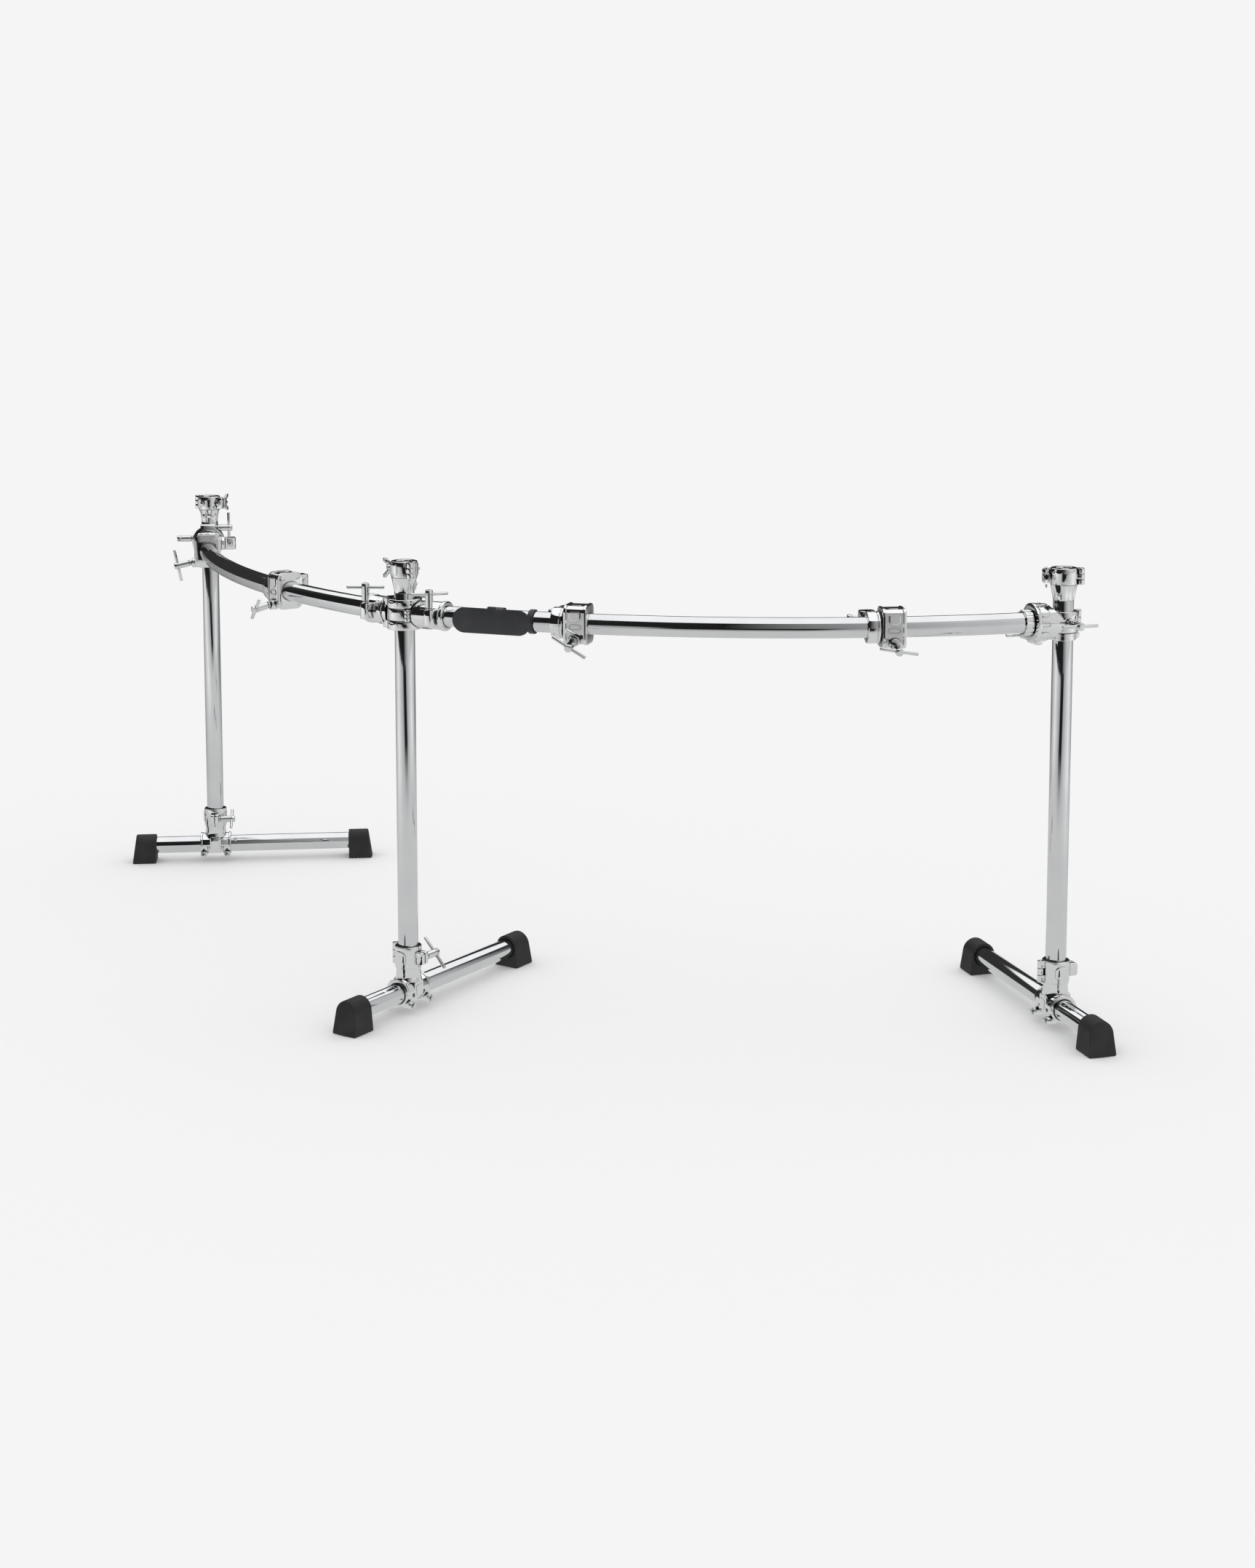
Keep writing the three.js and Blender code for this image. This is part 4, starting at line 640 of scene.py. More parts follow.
def foot_clamp():
    """Foot clamp: fixed half collar, neck and the saddle over the foot tube, in the leg's frame."""
    f = FOOT
    middle = (f.low + f.high) / 2
    parts = collar_half(f, -1)
    parts += moved(rod(f.pin, f.low - 0.6, f.high + 0.6, 0.8, 24), (-f.hinge_at, 0, 0))
    neck = [(f.bore, f.saddle + FOOT_AXIS - 6), (f.neck + 1.2, f.saddle + FOOT_AXIS - 6),
            (f.neck - 0.8, f.saddle + FOOT_AXIS + 2), (f.neck - 1.6, f.low - 6), (f.neck, f.low - 1.5),
            (f.neck, f.low), (f.bore, f.low)]
    parts += hoop(np.array(neck), sides=64)
    saddle = hoop(band_loop(f.bore, f.saddle, -f.saddle_half, f.saddle_half, 1.4), 0.5, 179.5, 48)
    parts += moved(saddle, (0, 0, FOOT_AXIS), (1, 0, 0), (0, -1, 0))
    for end in (-1, 1):
        rim = hoop(band_loop(f.saddle - 2, f.saddle + 1.2, end * f.saddle_half - 2.5,
                             end * f.saddle_half + 2.5, 1),
                   4, 176, 40)
        inner = end * 2.5
        parts += moved(rim, (0, inner, FOOT_AXIS), (1, 0, 0), (0, -1, 0))
    for hand in (-1, 1):
        parts += block((hand * 21 - 5, -f.pad, 26), (hand * 21 + 5, f.pad, 60), 5.0, 1.5, "x")
        shield = pad(tongue(8.5, -13, 9, 3.0), 1.8)
        parts += moved(shield, (hand * 25.4, 0, FOOT_AXIS + 5), (0, 0, 1), (hand, 0, 0))
    d_pad = pad(tongue(f.pad - 1, -f.pad, f.pad - 2, 3.0), 2.0)
    parts += bent(moved(d_pad, (0, 0, 0), (0, -1, 0), (0, 0, 1)),
                  lambda p: round_post(p, f.outer, -90, middle))
    return parts


def round_post(p, radius, angle, height):
    """Flat surface laid on an upright cylinder: local X runs round it, local Y up and local Z out."""
    turn = math.radians(angle) + p[:, 0] / radius
    out = radius + p[:, 2]
    return np.stack([out * np.cos(turn), out * np.sin(turn), height + p[:, 1]], 1)


def foot_gate():
    f = FOOT
    middle = (f.low + f.high) / 2
    shield = pad(rectangle(11, 12, 4), 1.4)
    return collar_half(f, 1) + bent(shield, lambda p: round_post(p, f.outer, 90, middle))


def foot_strap():
    """Strap under the foot tube: a thin web with two bands, each ending in lugs."""
    f = FOOT
    half = f.saddle_half
    band_at = half - f.strap_width / 2
    web = hoop(band_loop(f.bore, f.web, -band_at, band_at, 0.8), 180.8, 359.2, 48)
    parts = moved(web, (0, 0, FOOT_AXIS), (1, 0, 0), (0, -1, 0))
    for end in (-1, 1):
        at = end * band_at
        band = hoop(band_loop(f.bore, f.strap, at - f.strap_width / 2, at + f.strap_width / 2, 1.2),
                    180.8, 359.2, 48)
        parts += moved(band, (0, 0, FOOT_AXIS), (1, 0, 0), (0, -1, 0))
        for hand in (-1, 1):
            parts += rod_between((hand * f.strap_lug_at, at, f.strap_height),
                                 (hand * f.strap_reach, at, f.strap_height), f.strap_lug, 1.4)
    return parts


def strap_bolts():
    f = FOOT
    band_at = f.saddle_half - f.strap_width / 2
    parts = []
    for end in (-1, 1):
        for hand in (-1, 1):
            parts += hex_bolt((hand * f.strap_reach, end * band_at, f.strap_height), (hand, 0, 0), 8.0, 3.6,
                              5.6)
    return parts


# Rubber feet

RUBBER = SimpleNamespace(height=64.0, top=24.0, base=27.5, shoulder=40.0, length=56.0, slant=10.0, wall=18.0,
                         bulge=2.0, tread=1.5, tread_pitch=8.0)


def foot_outline():
    """Arched cross-section over (x, z), from the middle of the sole up the right side and down the left."""
    r = RUBBER
    sole = np.stack([np.linspace(0, r.base - 2.5, 6), np.zeros(6)], 1)
    heel = arc(2.5, -90, 0, 4, (r.base - 2.5, 2.5))
    side = np.stack([np.linspace(r.base - 0.1, r.top, 8), np.linspace(5, r.shoulder, 8)], 1)
    turn = np.linspace(0, math.pi / 2, 14)[1:]
    crown = np.stack([r.top * np.cos(turn), r.shoulder + (r.height - r.shoulder) * np.sin(turn)], 1)
    right = np.concatenate([sole, heel[1:], side, crown])
    left = right[-2:0:-1] * [-1, 1]
    return np.concatenate([right, left]), len(right)


def rubber_foot():
    """Rubber foot: the arch carried outwards, its outer face leaning in and creased down the middle,
    with a blind socket for the tube on its inner face, at y = 0."""
    r = RUBBER
    outline, half = foot_outline()
    axis = np.array([0, FOOT_AXIS])
    arm = outline - axis
    circle = axis + (TUBE_RADIUS + 0.2) * arm / np.linalg.norm(arm, axis=1, keepdims=True)
    wide = axis + (TUBE_RADIUS + 1.6) * arm / np.linalg.norm(arm, axis=1, keepdims=True)
    rings = [(circle, r.length - r.wall), (circle, 1.5), (wide, 0.0), (inset(outline, 1.4), 0.0),
             (inset(outline, 0.4), 0.5), (outline, 1.6)]
    for share in np.linspace(0.06, 0.93, 40):
        rings.append((outline, r.length * share))
    for turn in np.linspace(0.25, 1, 4) * math.pi / 2:
        rings.append((inset(outline, 3.6 * (1 - math.cos(turn))), r.length - 3.6 * (1 - math.sin(turn))))
    flat = np.array([np.column_stack([ring, np.full(len(ring), depth)]) for ring, depth in rings])
    x, z, depth = flat[..., 0], flat[..., 1], flat[..., 2]
    lean = depth * (1 - r.slant / r.length * z / r.height)
    lean = lean - r.bulge * np.abs(x) / r.base * (depth / r.length) ** 8
    scallop = r.tread * (0.5 - 0.5 * np.cos(2 * math.pi * depth / r.tread_pitch)) ** 3
    z = z + np.where((z < 4) & (depth > 0.6) & (depth < r.length - 1), scallop * (np.abs(x) > 15), 0)
    points = np.stack([x, -lean, z], 2)
    (vertices, faces), = skin(points, ends="open")
    m = len(outline)
    last = (len(rings) - 1) * m
    spine = points[-1][1:half - 1].copy()
    spine[:, 0] = 0
    spine[:, 1] = np.interp(spine[:, 2], points[-1][[0, half - 1], 2], points[-1][[0, half - 1], 1])
    first = len(vertices)
    middle = [last] + list(range(first, first + half - 2)) + [last + half - 1]
    right = [last + i for i in range(half)]
    left = [last + (m - i) % m for i in range(half)]
    for i in range(half - 1):
        for edge in (right, left):
            corners = [edge[i], edge[i + 1], middle[i + 1], middle[i]]
            faces.append(list(dict.fromkeys(corners)))
    faces.append(list(range(m)))
    return [(np.concatenate([vertices, spine]), faces)]


# Rod clamps on the posts

ROD = SimpleNamespace(bore=15.0, outer=25.0, low=29.3, high=60.0, lug_reach=40.0, lug_depth=9.0,
                      lug_height=13.0, bolt_at=31.5, hinge_at=30.5, hinge=6.5, pin=2.6, plug=17.0,
                      plug_length=25.0, foot=18.6, shoulder=24.2, floor=16.0, rib=5.0, rib_proud=3.0,
                      scoop=2.6)
ROD_TURNS = {"middle": 150.0, "right": 203.5, "left": 10.0}


def tapered_base():
    """Tapered base of a rod clamp: a cone turned about Z, scooped by a sine over its height except on
    four ribs, with the socket's floor inside it."""
    r = ROD
    turn = np.linspace(0, 2 * math.pi, 96, endpoint=False)
    share = np.linspace(0, 1, 15)[:, None]
    rib = np.exp(-((np.abs(np.sin(2 * turn)) * r.foot / 2 / r.rib) ** 4))[None, :]
    cone = r.foot + (r.shoulder - r.foot) * share
    radius = cone - r.scoop * np.sin(math.pi * share) * (1 - rib) + 0.5 * rib
    height = 0.3 + (r.low - 0.5) * share + 0 * radius
    rings = [np.full_like(turn, 0.5), *radius, np.full_like(turn, r.bore), np.full_like(turn, r.bore),
             np.full_like(turn, 0.5)]
    levels = [np.full_like(turn, 0.3), *height, np.full_like(turn, r.low), np.full_like(turn, r.floor),
              np.full_like(turn, r.floor)]
    radius, height = np.array(rings), np.array(levels)
    return skin(np.stack([radius * np.cos(turn), radius * np.sin(turn), height], 2))


def rod_clamp():
    r = ROD
    middle = (r.low + r.high) / 2
    parts = tapered_base() + rod(r.plug, -r.plug_length, 0.5, 1.0)
    parts += collar_half(r, -1, 1.8)
    parts += moved(rod(r.pin, r.low - 0.6, r.high + 0.3, 0.8, 24), (-r.hinge_at, 0, 0))
    boss = pad(rectangle(5, 11, 4), r.rib_proud)
    parts += bent(boss, lambda p: round_post(p, r.foot + 1, -90, 14.0))
    shield = pad(rectangle(9, 11, 5), 1.5)
    for angle in (-125, -60):
        parts += bent(shield, lambda p: round_post(p, r.outer, angle, middle))
    return parts


def rod_jaw():
    r = ROD
    middle = (r.low + r.high) / 2
    shield = pad(rectangle(12, 11, 5), 1.5)
    return collar_half(r, 1, 1.8) + bent(shield, lambda p: round_post(p, r.outer, 100, middle))


def rod_clamp_screws():
    """Bolts on the front of a rod clamp: a washered hex bolt, a smaller one, and the drum-key screw."""
    r = ROD
    middle = (r.low + r.high) / 2
    front = np.array([math.cos(math.radians(-92)), math.sin(math.radians(-92)), 0])
    aside = np.array([math.cos(math.radians(-28)), math.sin(math.radians(-28)), 0])
    return (hex_bolt(front * (r.outer - 0.8) + [0, 0, middle], front, 8.5, 5.0, 7.0)
            + hex_bolt(np.array([r.bolt_at, -r.lug_depth, middle]), (0, -1, 0), 8.0, 4.0, 6.0)
            + hex_bolt(aside * 24.5 + [0, 0, middle - 9], aside, 5.5, 2.6, 3.6)
            + key_screw((0, -r.foot - r.rib_proud - 0.6, 15.0), (0, -1, 0), 3.0))


# End clamps, X from the bar towards the post, the origin on the post's axis

END = SimpleNamespace(barrel=34.0, inner_barrel=26.0, flange=1.8, flange_length=8.0, outer_grip=24.0,
                      inner_grip=50.0, relief=36.0, ring=26.0, ring_half=19.5, neck_inner=15.0,
                      neck_half=20.0,
                      mid_ring=33.0, mid_half=11.0, fork_low=11.5, fork_high=29.0, hinge=5.5, hinge_at=30.5,
                      pin=2.3, mid_hinge_at=35.0, gate_start=56.0, gate_end=128.0, boss=8.0, boss_reach=36.0,
                      bolt_at=37.2, lug_half=9.0, lug_width=17.0, lug_drop=40.0, lug_top=22.0, bar_drop=31.0,
                      bar_back=56.0, inner_lug=42.0, inner_lug_start=16.0, inner_lug_half=15.0,
                      inner_bolt=33.0,
                      inner_back=72.0, mid_bolt=-127.0, fork_bolt=130.0)
BAR_HANDLE_TURN = 42.0


def barrel(radius, start):
    """Barrel round the bar: circles whose far ends follow the post's relief cylinder, so that
    x = -sqrt(relief^2 - y^2) there, with a flange at the near end and the bore through it."""
    e = END
    turn = np.linspace(0, 2 * math.pi, 96, endpoint=False)
    cosine, sine = np.cos(turn), np.sin(turn)

    def end(r):
        return -np.sqrt(e.relief ** 2 - (r * cosine) ** 2)

    shelf = start + e.flange_length
    flange = radius + e.flange
    stations = [(BORE_RADIUS, start + 0.0 * turn), (BORE_RADIUS + 1.2, start + 0.0 * turn),
                (flange - 1.2, start + 0.0 * turn), (flange - 0.3, start + 0.4 + 0.0 * turn),
                (flange, start + 1.2 + 0.0 * turn), (flange, shelf - 1.0 + 0.0 * turn),
                (flange - 0.5, shelf - 0.2 + 0.0 * turn), (radius, shelf + 0.6 + 0.0 * turn)]
    far = end(radius) - 1.6
    for share in (0.3, 0.6, 1.0):
        stations.append((radius, shelf + 0.8 + (far - shelf - 0.8) * share))
    stations += [(radius - 0.5, end(radius - 0.5) - 0.5), (radius - 1.6, end(radius - 1.6)),
                 (BORE_RADIUS + 3, end(BORE_RADIUS + 3)), (BORE_RADIUS, end(BORE_RADIUS))]
    rings = [np.stack([x, r * cosine, r * sine], 1) for r, x in stations]
    return skin(np.array(rings), ends="joined")


def outer_clamp():
    """Outer end clamp: barrel, half ring, hinge lugs and the lug of the bolt that grips the bar."""
    e = END
    start = -END_REACH - e.outer_grip
    third = e.ring_half * 2 / 3
    middle = (start - e.relief) / 2
    parts = barrel(e.barrel, start)
    parts += block((-e.relief - 3, SPLIT, -e.ring_half), (-e.neck_inner, e.neck_half, e.ring_half), 3, 1.5,
                   "x")
    parts += hoop(band_loop(BORE_RADIUS, e.ring, -e.ring_half, e.ring_half, 1.8), 1, 192, 56)
    for low in (-e.ring_half, third / 2):
        parts += moved(rod(e.hinge, low, low + third, 0.9, 32), (e.hinge_at, 0, 0))
        parts += block((e.ring - 4, SPLIT / 2, low), (e.hinge_at, e.hinge, low + third), 1, 0.8)
    parts += moved(rod(e.pin, -e.ring_half - 0.7, e.ring_half + 0.7, 0.8, 24), (e.hinge_at, 0, 0))
    parts += block((-e.bar_back - e.lug_half, -e.lug_width, -e.lug_drop),
                   (-e.bar_back + e.lug_half, e.lug_width, -e.lug_top), 6.0, 1.8, "y")
    for upward in (-1, 1):
        shape = pad(tongue(10.5, e.barrel * 0.42, e.barrel * 1.35, 4.0), 1.6)
        if upward < 0:
            shape = bent(shape, lambda p: p * [-1, 1, 1])
        parts += on_barrel(shape, e.barrel, 180, middle)
        opposite = pad(tongue(10.5, e.barrel * 0.42, e.barrel * 1.35, 4.0), 1.6)
        if upward < 0:
            opposite = bent(opposite, lambda p: p * [-1, 1, 1])
        parts += on_barrel(opposite, e.barrel, 0, middle)
    sign = bent(oval_frame(10.5, 5.0), lambda p: p[:, [1, 0, 2]] * [1, 1, 1])
    parts += on_barrel(sign, e.barrel, 180, middle)
    return parts


def outer_gate():
    e = END
    third = e.ring_half * 2 / 3
    low = -third / 2 + 0.3
    parts = hoop(band_loop(BORE_RADIUS, e.ring, -e.ring_half, e.ring_half, 1.8), 197, 356, 56)
    parts += rod_between((0, -BORE_RADIUS - 2, 0), (0, -e.boss_reach, 0), e.boss, 1.4)
    parts += moved(rod(e.hinge, low, -low, 0.9, 32), (e.hinge_at, 0, 0))
    parts += block((e.ring - 4, -e.hinge, low), (e.hinge_at, -SPLIT / 2, -low), 1, 0.8)
    for side in (-1, 1):
        shape = pad(rectangle(6.0, 13.0, 4.0), 1.4)
        parts += bent(shape, lambda p: round_post(p, e.ring, -90 + side * 44, 0.0))
    return parts


def post_bolt(angle, height=0.0):
    """T-bolt pointing out from a post at an angle in degrees, its handle level."""
    e = END
    out = np.array([math.cos(math.radians(angle)), math.sin(math.radians(angle)), 0])
    along = np.array([-out[1], out[0], 0])
    return moved(t_bolt(e.bolt_at - TUBE_RADIUS - 0.3), out * e.bolt_at + [0, 0, height], along, out)


def bar_bolt_across(turn):
    e = END
    tilt = math.radians(turn)
    handle = (math.cos(tilt), 0, -math.sin(tilt))
    return moved(t_bolt(e.lug_width), (-e.bar_back, e.lug_width, -e.bar_drop), handle, (0, 1, 0))


def bar_bolt_upright(outside):
    e = END
    tilt = math.radians(BAR_HANDLE_TURN)
    at = (-e.inner_back, outside * e.inner_bolt, e.inner_lug_half)
    return moved(t_bolt(e.inner_lug_half), at, (math.cos(tilt), math.sin(tilt), 0), (0, 0, 1))


def inner_barrel(outside):
    """Barrel, side lug and pads that both inner clamps share; outside is the side of Y of the lug."""
    e = END
    start = -END_REACH - e.inner_grip
    near, far = sorted((outside * e.inner_lug_start, outside * e.inner_lug))
    parts = barrel(e.inner_barrel, start)
    parts += block((-e.inner_back - e.lug_half, near, -e.inner_lug_half),
                   (-e.inner_back + e.lug_half, far, e.inner_lug_half), 6.0, 1.8, "z")
    parts += on_barrel(pad(rectangle(9.0, 8.0, 4.0), 1.4), e.inner_barrel, 90 - outside * 40, -51.0)
    parts += on_barrel(pad(rectangle(9.0, 8.0, 4.0), 1.4), e.inner_barrel, outside * 10 - 90, -51.0)
    return parts


def radial_boss(angle, height):
    e = END
    out = np.array([math.cos(math.radians(angle)), math.sin(math.radians(angle)), 0])
    level = np.array([0, 0, height])
    return rod_between(out * (BORE_RADIUS + 3) + level, out * e.boss_reach + level, e.boss, 1.2)


def middle_ring_clamp():
    """Inner clamp with a single middle ring, open where its hinged gate sits, its outside on +Y."""
    e = END
    half = e.mid_half
    third = half * 2 / 3
    pin = np.array([math.cos(math.radians(e.gate_end)), math.sin(math.radians(e.gate_end)),
                    0]) * e.mid_hinge_at
    parts = inner_barrel(1)
    ring = hoop(band_loop(BORE_RADIUS, e.mid_ring, -half, half, 1.4), e.gate_end + 1, e.gate_start + 359, 72)
    parts += ring + radial_boss(e.mid_bolt, 0)
    parts += block((-e.relief - 6, -e.neck_half, -half), (-e.neck_inner, e.neck_half, half), 2, 1.2, "x")
    for low in (-half, half - third):
        parts += moved(rod(e.hinge, low, low + third, 0.8, 32), pin)
    parts += moved(rod(e.pin, -half - 0.4, half + 0.4, 0.6, 24), pin)
    return parts


def middle_ring_gate():
    e = END
    half = e.mid_half
    third = half / 3
    pin = np.array([math.cos(math.radians(e.gate_end)), math.sin(math.radians(e.gate_end)),
                    0]) * e.mid_hinge_at
    parts = hoop(band_loop(BORE_RADIUS, e.mid_ring, -half, half, 1.4), e.gate_start + 1.5, e.gate_end - 1,
                 40)
    parts += moved(rod(e.hinge, -third + 0.3, third - 0.3, 0.8, 32), pin)
    shape = pad(stadium(13.0, 7.0), 1.2)
    parts += bent(shape, lambda p: round_post(p, e.mid_ring, 90, 0.0))
    return parts


def fork_clamp():
    """Inner clamp with an upper and a lower ring, its outside on -Y."""
    e = END
    parts = inner_barrel(-1) + radial_boss(e.fork_bolt, (e.fork_low + e.fork_high) / 2)
    for low, high in ((e.fork_low, e.fork_high), (-e.fork_high, -e.fork_low)):
        parts += hoop(band_loop(BORE_RADIUS, e.mid_ring, low, high, 2.2), sides=96)
        parts += block((-e.relief - 3, -e.neck_half, low), (-e.neck_inner, e.neck_half, high), 2, 1.2, "x")
        middle = (low + high) / 2
        shape = pad(stadium(15.0, 5.0), 1.0)
        parts += bent(shape, lambda p: round_post(p, e.mid_ring, -90, middle))
    plate = hoop(band_loop(BORE_RADIUS, e.fork_high, -END_REACH - 2, -e.relief - 1, 1.6), sides=72)
    parts += moved(plate, (0, 0, 0), (0, 1, 0), (1, 0, 0))
    return parts


# Lock rings

LOCK = SimpleNamespace(radius=24.0, bar_width=16.0, bar_gap=1.0, post_height=14.0, post_gap=0.6,
                       lug_reach=31.0, lug_half=6.0, notch=1.3)


def post_lock_ring():
    """Memory lock ring under an outer clamp: a banded ring with a screw lug towards +X."""
    k = LOCK
    top = BAR_HEIGHT - END.ring_half - k.post_gap
    low = top - k.post_height
    outline = arc(k.radius, 0, 354, 60)
    stations = [(low, 0.9), (low + 0.9, 0), (low + 4.2, 0), (low + 4.8, 0.7), (top - 4.8, 0.7),
                (top - 4.2, 0),
                (top - 0.9, 0), (top, 0.9)]
    lug = block((k.radius - 3, -k.lug_half, low + 1), (k.lug_reach - 1, k.lug_half, top - 1), 3, 1.0, "x")
    screw = key_screw((k.lug_reach - 1, 0, (low + top) / 2), (1, 0, 0), 1.0)
    return sleeve(outline, stations, TUBE_RADIUS + 0.05) + lug + screw


def bar_lock_ring(side):
    """Castellated lock ring on a bar beside its outer clamp, in the frame of the bar's inner end."""
    k = LOCK
    high = BAR_LENGTH - END.outer_grip - k.bar_gap
    low = high - k.bar_width
    outline = notched_circle(k.radius, k.notch, 14)
    stations = [(low, 0.9), (low + 0.9, 0), (high - 0.9, 0), (high, 0.9)]
    ring = sleeve(outline, stations, TUBE_RADIUS + 0.05)
    middle = (low + high) / 2
    angle = middle / BEND_RADIUS
    at = (BEND_RADIUS * math.sin(angle), side * BEND_RADIUS * (1 - math.cos(angle)), 0)
    along = np.array([math.cos(angle), side * math.sin(angle), 0])
    centred = moved(ring, (0, 0, -middle))
    return moved(centred, at, (0, 0, 1), along)


# Accessory clamps and rod holders

ACCESSORY = SimpleNamespace(half=21.5, shift=13.0, front=29.0, back=27.0, height=36.5, corner=13.0,
                            ring=29.0,
                            ring_width=23.0, ring_gap=2.5, neck=25.0, boss=15.0, boss_reach=31.0, drop=27.0,
                            tilt=12.0, hole=22.0, lip=10.5, lip_reach=35.0, frame=5.0, sunk=1.5)
HOLDER = SimpleNamespace(stud=4.5, stud_length=4.0, disc=14.5, thickness=8.0, half=15.0, tall=13.0,
                         deep=24.0,
                         bore=6.5, rise=10.0, screw=4.0, screw_length=12.0, knob_length=9.0)
HANDLE_TURNS = {1: -33.0, 2: -10.0, 3: 40.0, 4: 90.0}


def accessory_clamp():
    """Accessory clamp: framed box and a ring round the bar, with a boss behind and a bolt lip in front.
    X along the bar, Y towards the player."""
    a = ACCESSORY
    low, high = a.shift - a.half, a.shift + a.half
    depth = (a.front + a.back) / 2
    shift = (a.back - a.front) / 2
    outline = rectangle(depth, a.height, a.corner, (shift, 0), 9)
    stations = [(low, 1.4), (low + 0.5, 0.4), (low + 1.4, 0), (low + a.frame, 0),
                (low + a.frame + 1, a.sunk),
                (high - a.frame - 1, a.sunk), (high - a.frame, 0), (high - 1.4, 0), (high - 0.5, 0.4),
                (high, 1.4)]
    parts = moved(sleeve(outline, stations, BORE_RADIUS), (0, 0, 0), (0, 1, 0), (1, 0, 0))
    ring_high = low - a.ring_gap
    ring_low = ring_high - a.ring_width
    circle = arc(a.ring, 0, 355, 72)
    groove = ring_high - 6
    stations = [(ring_low, 1.4), (ring_low + 0.5, 0.4), (ring_low + 1.4, 0), (groove - 1, 0), (groove, 1.0),
                (groove + 1, 1.0), (groove + 2, 0), (ring_high - 1.4, 0), (ring_high, 1.4)]
    parts += moved(sleeve(circle, stations, BORE_RADIUS), (0, 0, 0), (0, 1, 0), (1, 0, 0))
    neck = sleeve(arc(a.neck, 0, 355, 72), [(ring_high - 1, 0), (low + 1, 0)], BORE_RADIUS)
    parts += moved(neck, (0, 0, 0), (0, 1, 0), (1, 0, 0))
    ring_middle = (ring_low + ring_high) / 2
    parts += rod_between((ring_middle, 20, HOLDER.rise), (ring_middle, a.boss_reach, HOLDER.rise), a.boss,
                         1.6, 40)
    parts += rod_between((a.shift, -20, -a.drop), (a.shift, -a.lip_reach, -a.drop), a.lip, 1.2)
    face = -a.front + a.sunk
    top = pad(tongue(11.0, -9, 9, 3.0), 1.9)
    parts += moved(top, (a.shift, face, 16.5), (0, 0, 1), (0, -1, 0))
    rim = oval_frame(12.0, 5.2, 1.6, 1.1)
    parts += moved(rim, (a.shift, face, -3.0), (1, 0, 0), (0, -1, 0))
    cap = pad(tongue(9.0, -8, 12, 3.0), 1.2)
    parts += moved(cap, (a.shift, -4, a.height - a.sunk), (0, -1, 0), (0, 0, 1))
    return parts


def accessory_bolt(number):
    a = ACCESSORY
    tilt = math.radians(a.tilt)
    turn = math.radians(HANDLE_TURNS[number])
    axis = np.array([0, -math.cos(tilt), -math.sin(tilt)])
    across = np.array([0, -math.sin(tilt), math.cos(tilt)])
    handle = np.array([1, 0, 0]) * math.cos(turn) + across * math.sin(turn)
    at = (a.shift, -a.lip_reach - 2, -a.drop)
    return moved(t_bolt(a.hole - 1), at, handle, axis)


def rod_holder():
    """Rod holder: swivel disc and a block with an upright bore for a rod, in the swivel's frame."""
    h = HOLDER
    deep = h.thickness + h.deep
    outline = rectangle(h.half, h.deep / 2 + 1, h.deep / 3, (0, 0), 7)
    stations = [(-h.tall, 1.6), (-h.tall + 0.5, 0.5), (-h.tall + 1.6, 0), (h.tall - 1.6, 0),
                (h.tall - 0.5, 0.5),
                (h.tall, 1.6)]
    parts = moved(sleeve(outline, stations, h.bore), (0, (h.thickness + deep) / 2 - 0.5, 0))
    parts += rod_between((0, -h.stud_length, 0), (0, 1, 0), h.stud, 0.6)
    parts += rod_between((0, 0, 0), (0, h.thickness, 0), h.disc, 1.5, 40)
    return parts


def holder_screws():
    h = HOLDER
    middle = h.thickness + h.deep / 2
    end = h.half + h.screw_length
    return (rod_between((-h.half + 2, middle, 0), (-end, middle, 0), h.screw, 0.5)
            + moved(hexagon(11.2, 0, h.knob_length, 1.2), (-end, middle, 0), (0, 1, 0), (-1, 0, 0))
            + hex_bolt((h.half, middle, 0), (1, 0, 0), 8.0, 4.0, 6.0))


# Blank plate

PLATE = SimpleNamespace(place=150.0, length=155.0, height=47.0, thickness=4.0, stand=5.0, clip=22.6,
                        clip_half=16.0, mouth=9.0, pad=12.0, tab=8.0)


def blank_plate():
    """Blank stadium plate in front of the bar, with its two clips."""
    p = PLATE
    back = TUBE_RADIUS + p.stand
    outline = stadium(p.length / 2, p.height / 2, 25)
    sheet = moved(pillow(outline, back, back + p.thickness, 1.2, 4), (0, 0, 0), (1, 0, 0), (0, -1, 0))
    opening = math.degrees(math.acos(p.mouth / p.clip))
    parts = sheet
    for at, half in ((0.0, p.clip_half), (p.length / 2 - 5, 5.0)):
        clip = hoop(band_loop(BORE_RADIUS, p.clip, at - half, at + half, 0.8), opening, 360 - opening, 48)
        parts += moved(clip, (0, 0, 0), (0, 1, 0), (1, 0, 0))
        parts += block((at - half + 4, -back - 0.5, -9), (at + half - 4, -TUBE_RADIUS - 0.5, 9), 2, 0.5, "y")
    tab_low = p.height / 2 - 5
    parts += block((-p.tab, -back - 2.5, tab_low), (p.tab, -back + 3, p.height / 2 + 3.5), 2, 1.0, "y")
    return parts


# The rack, put together

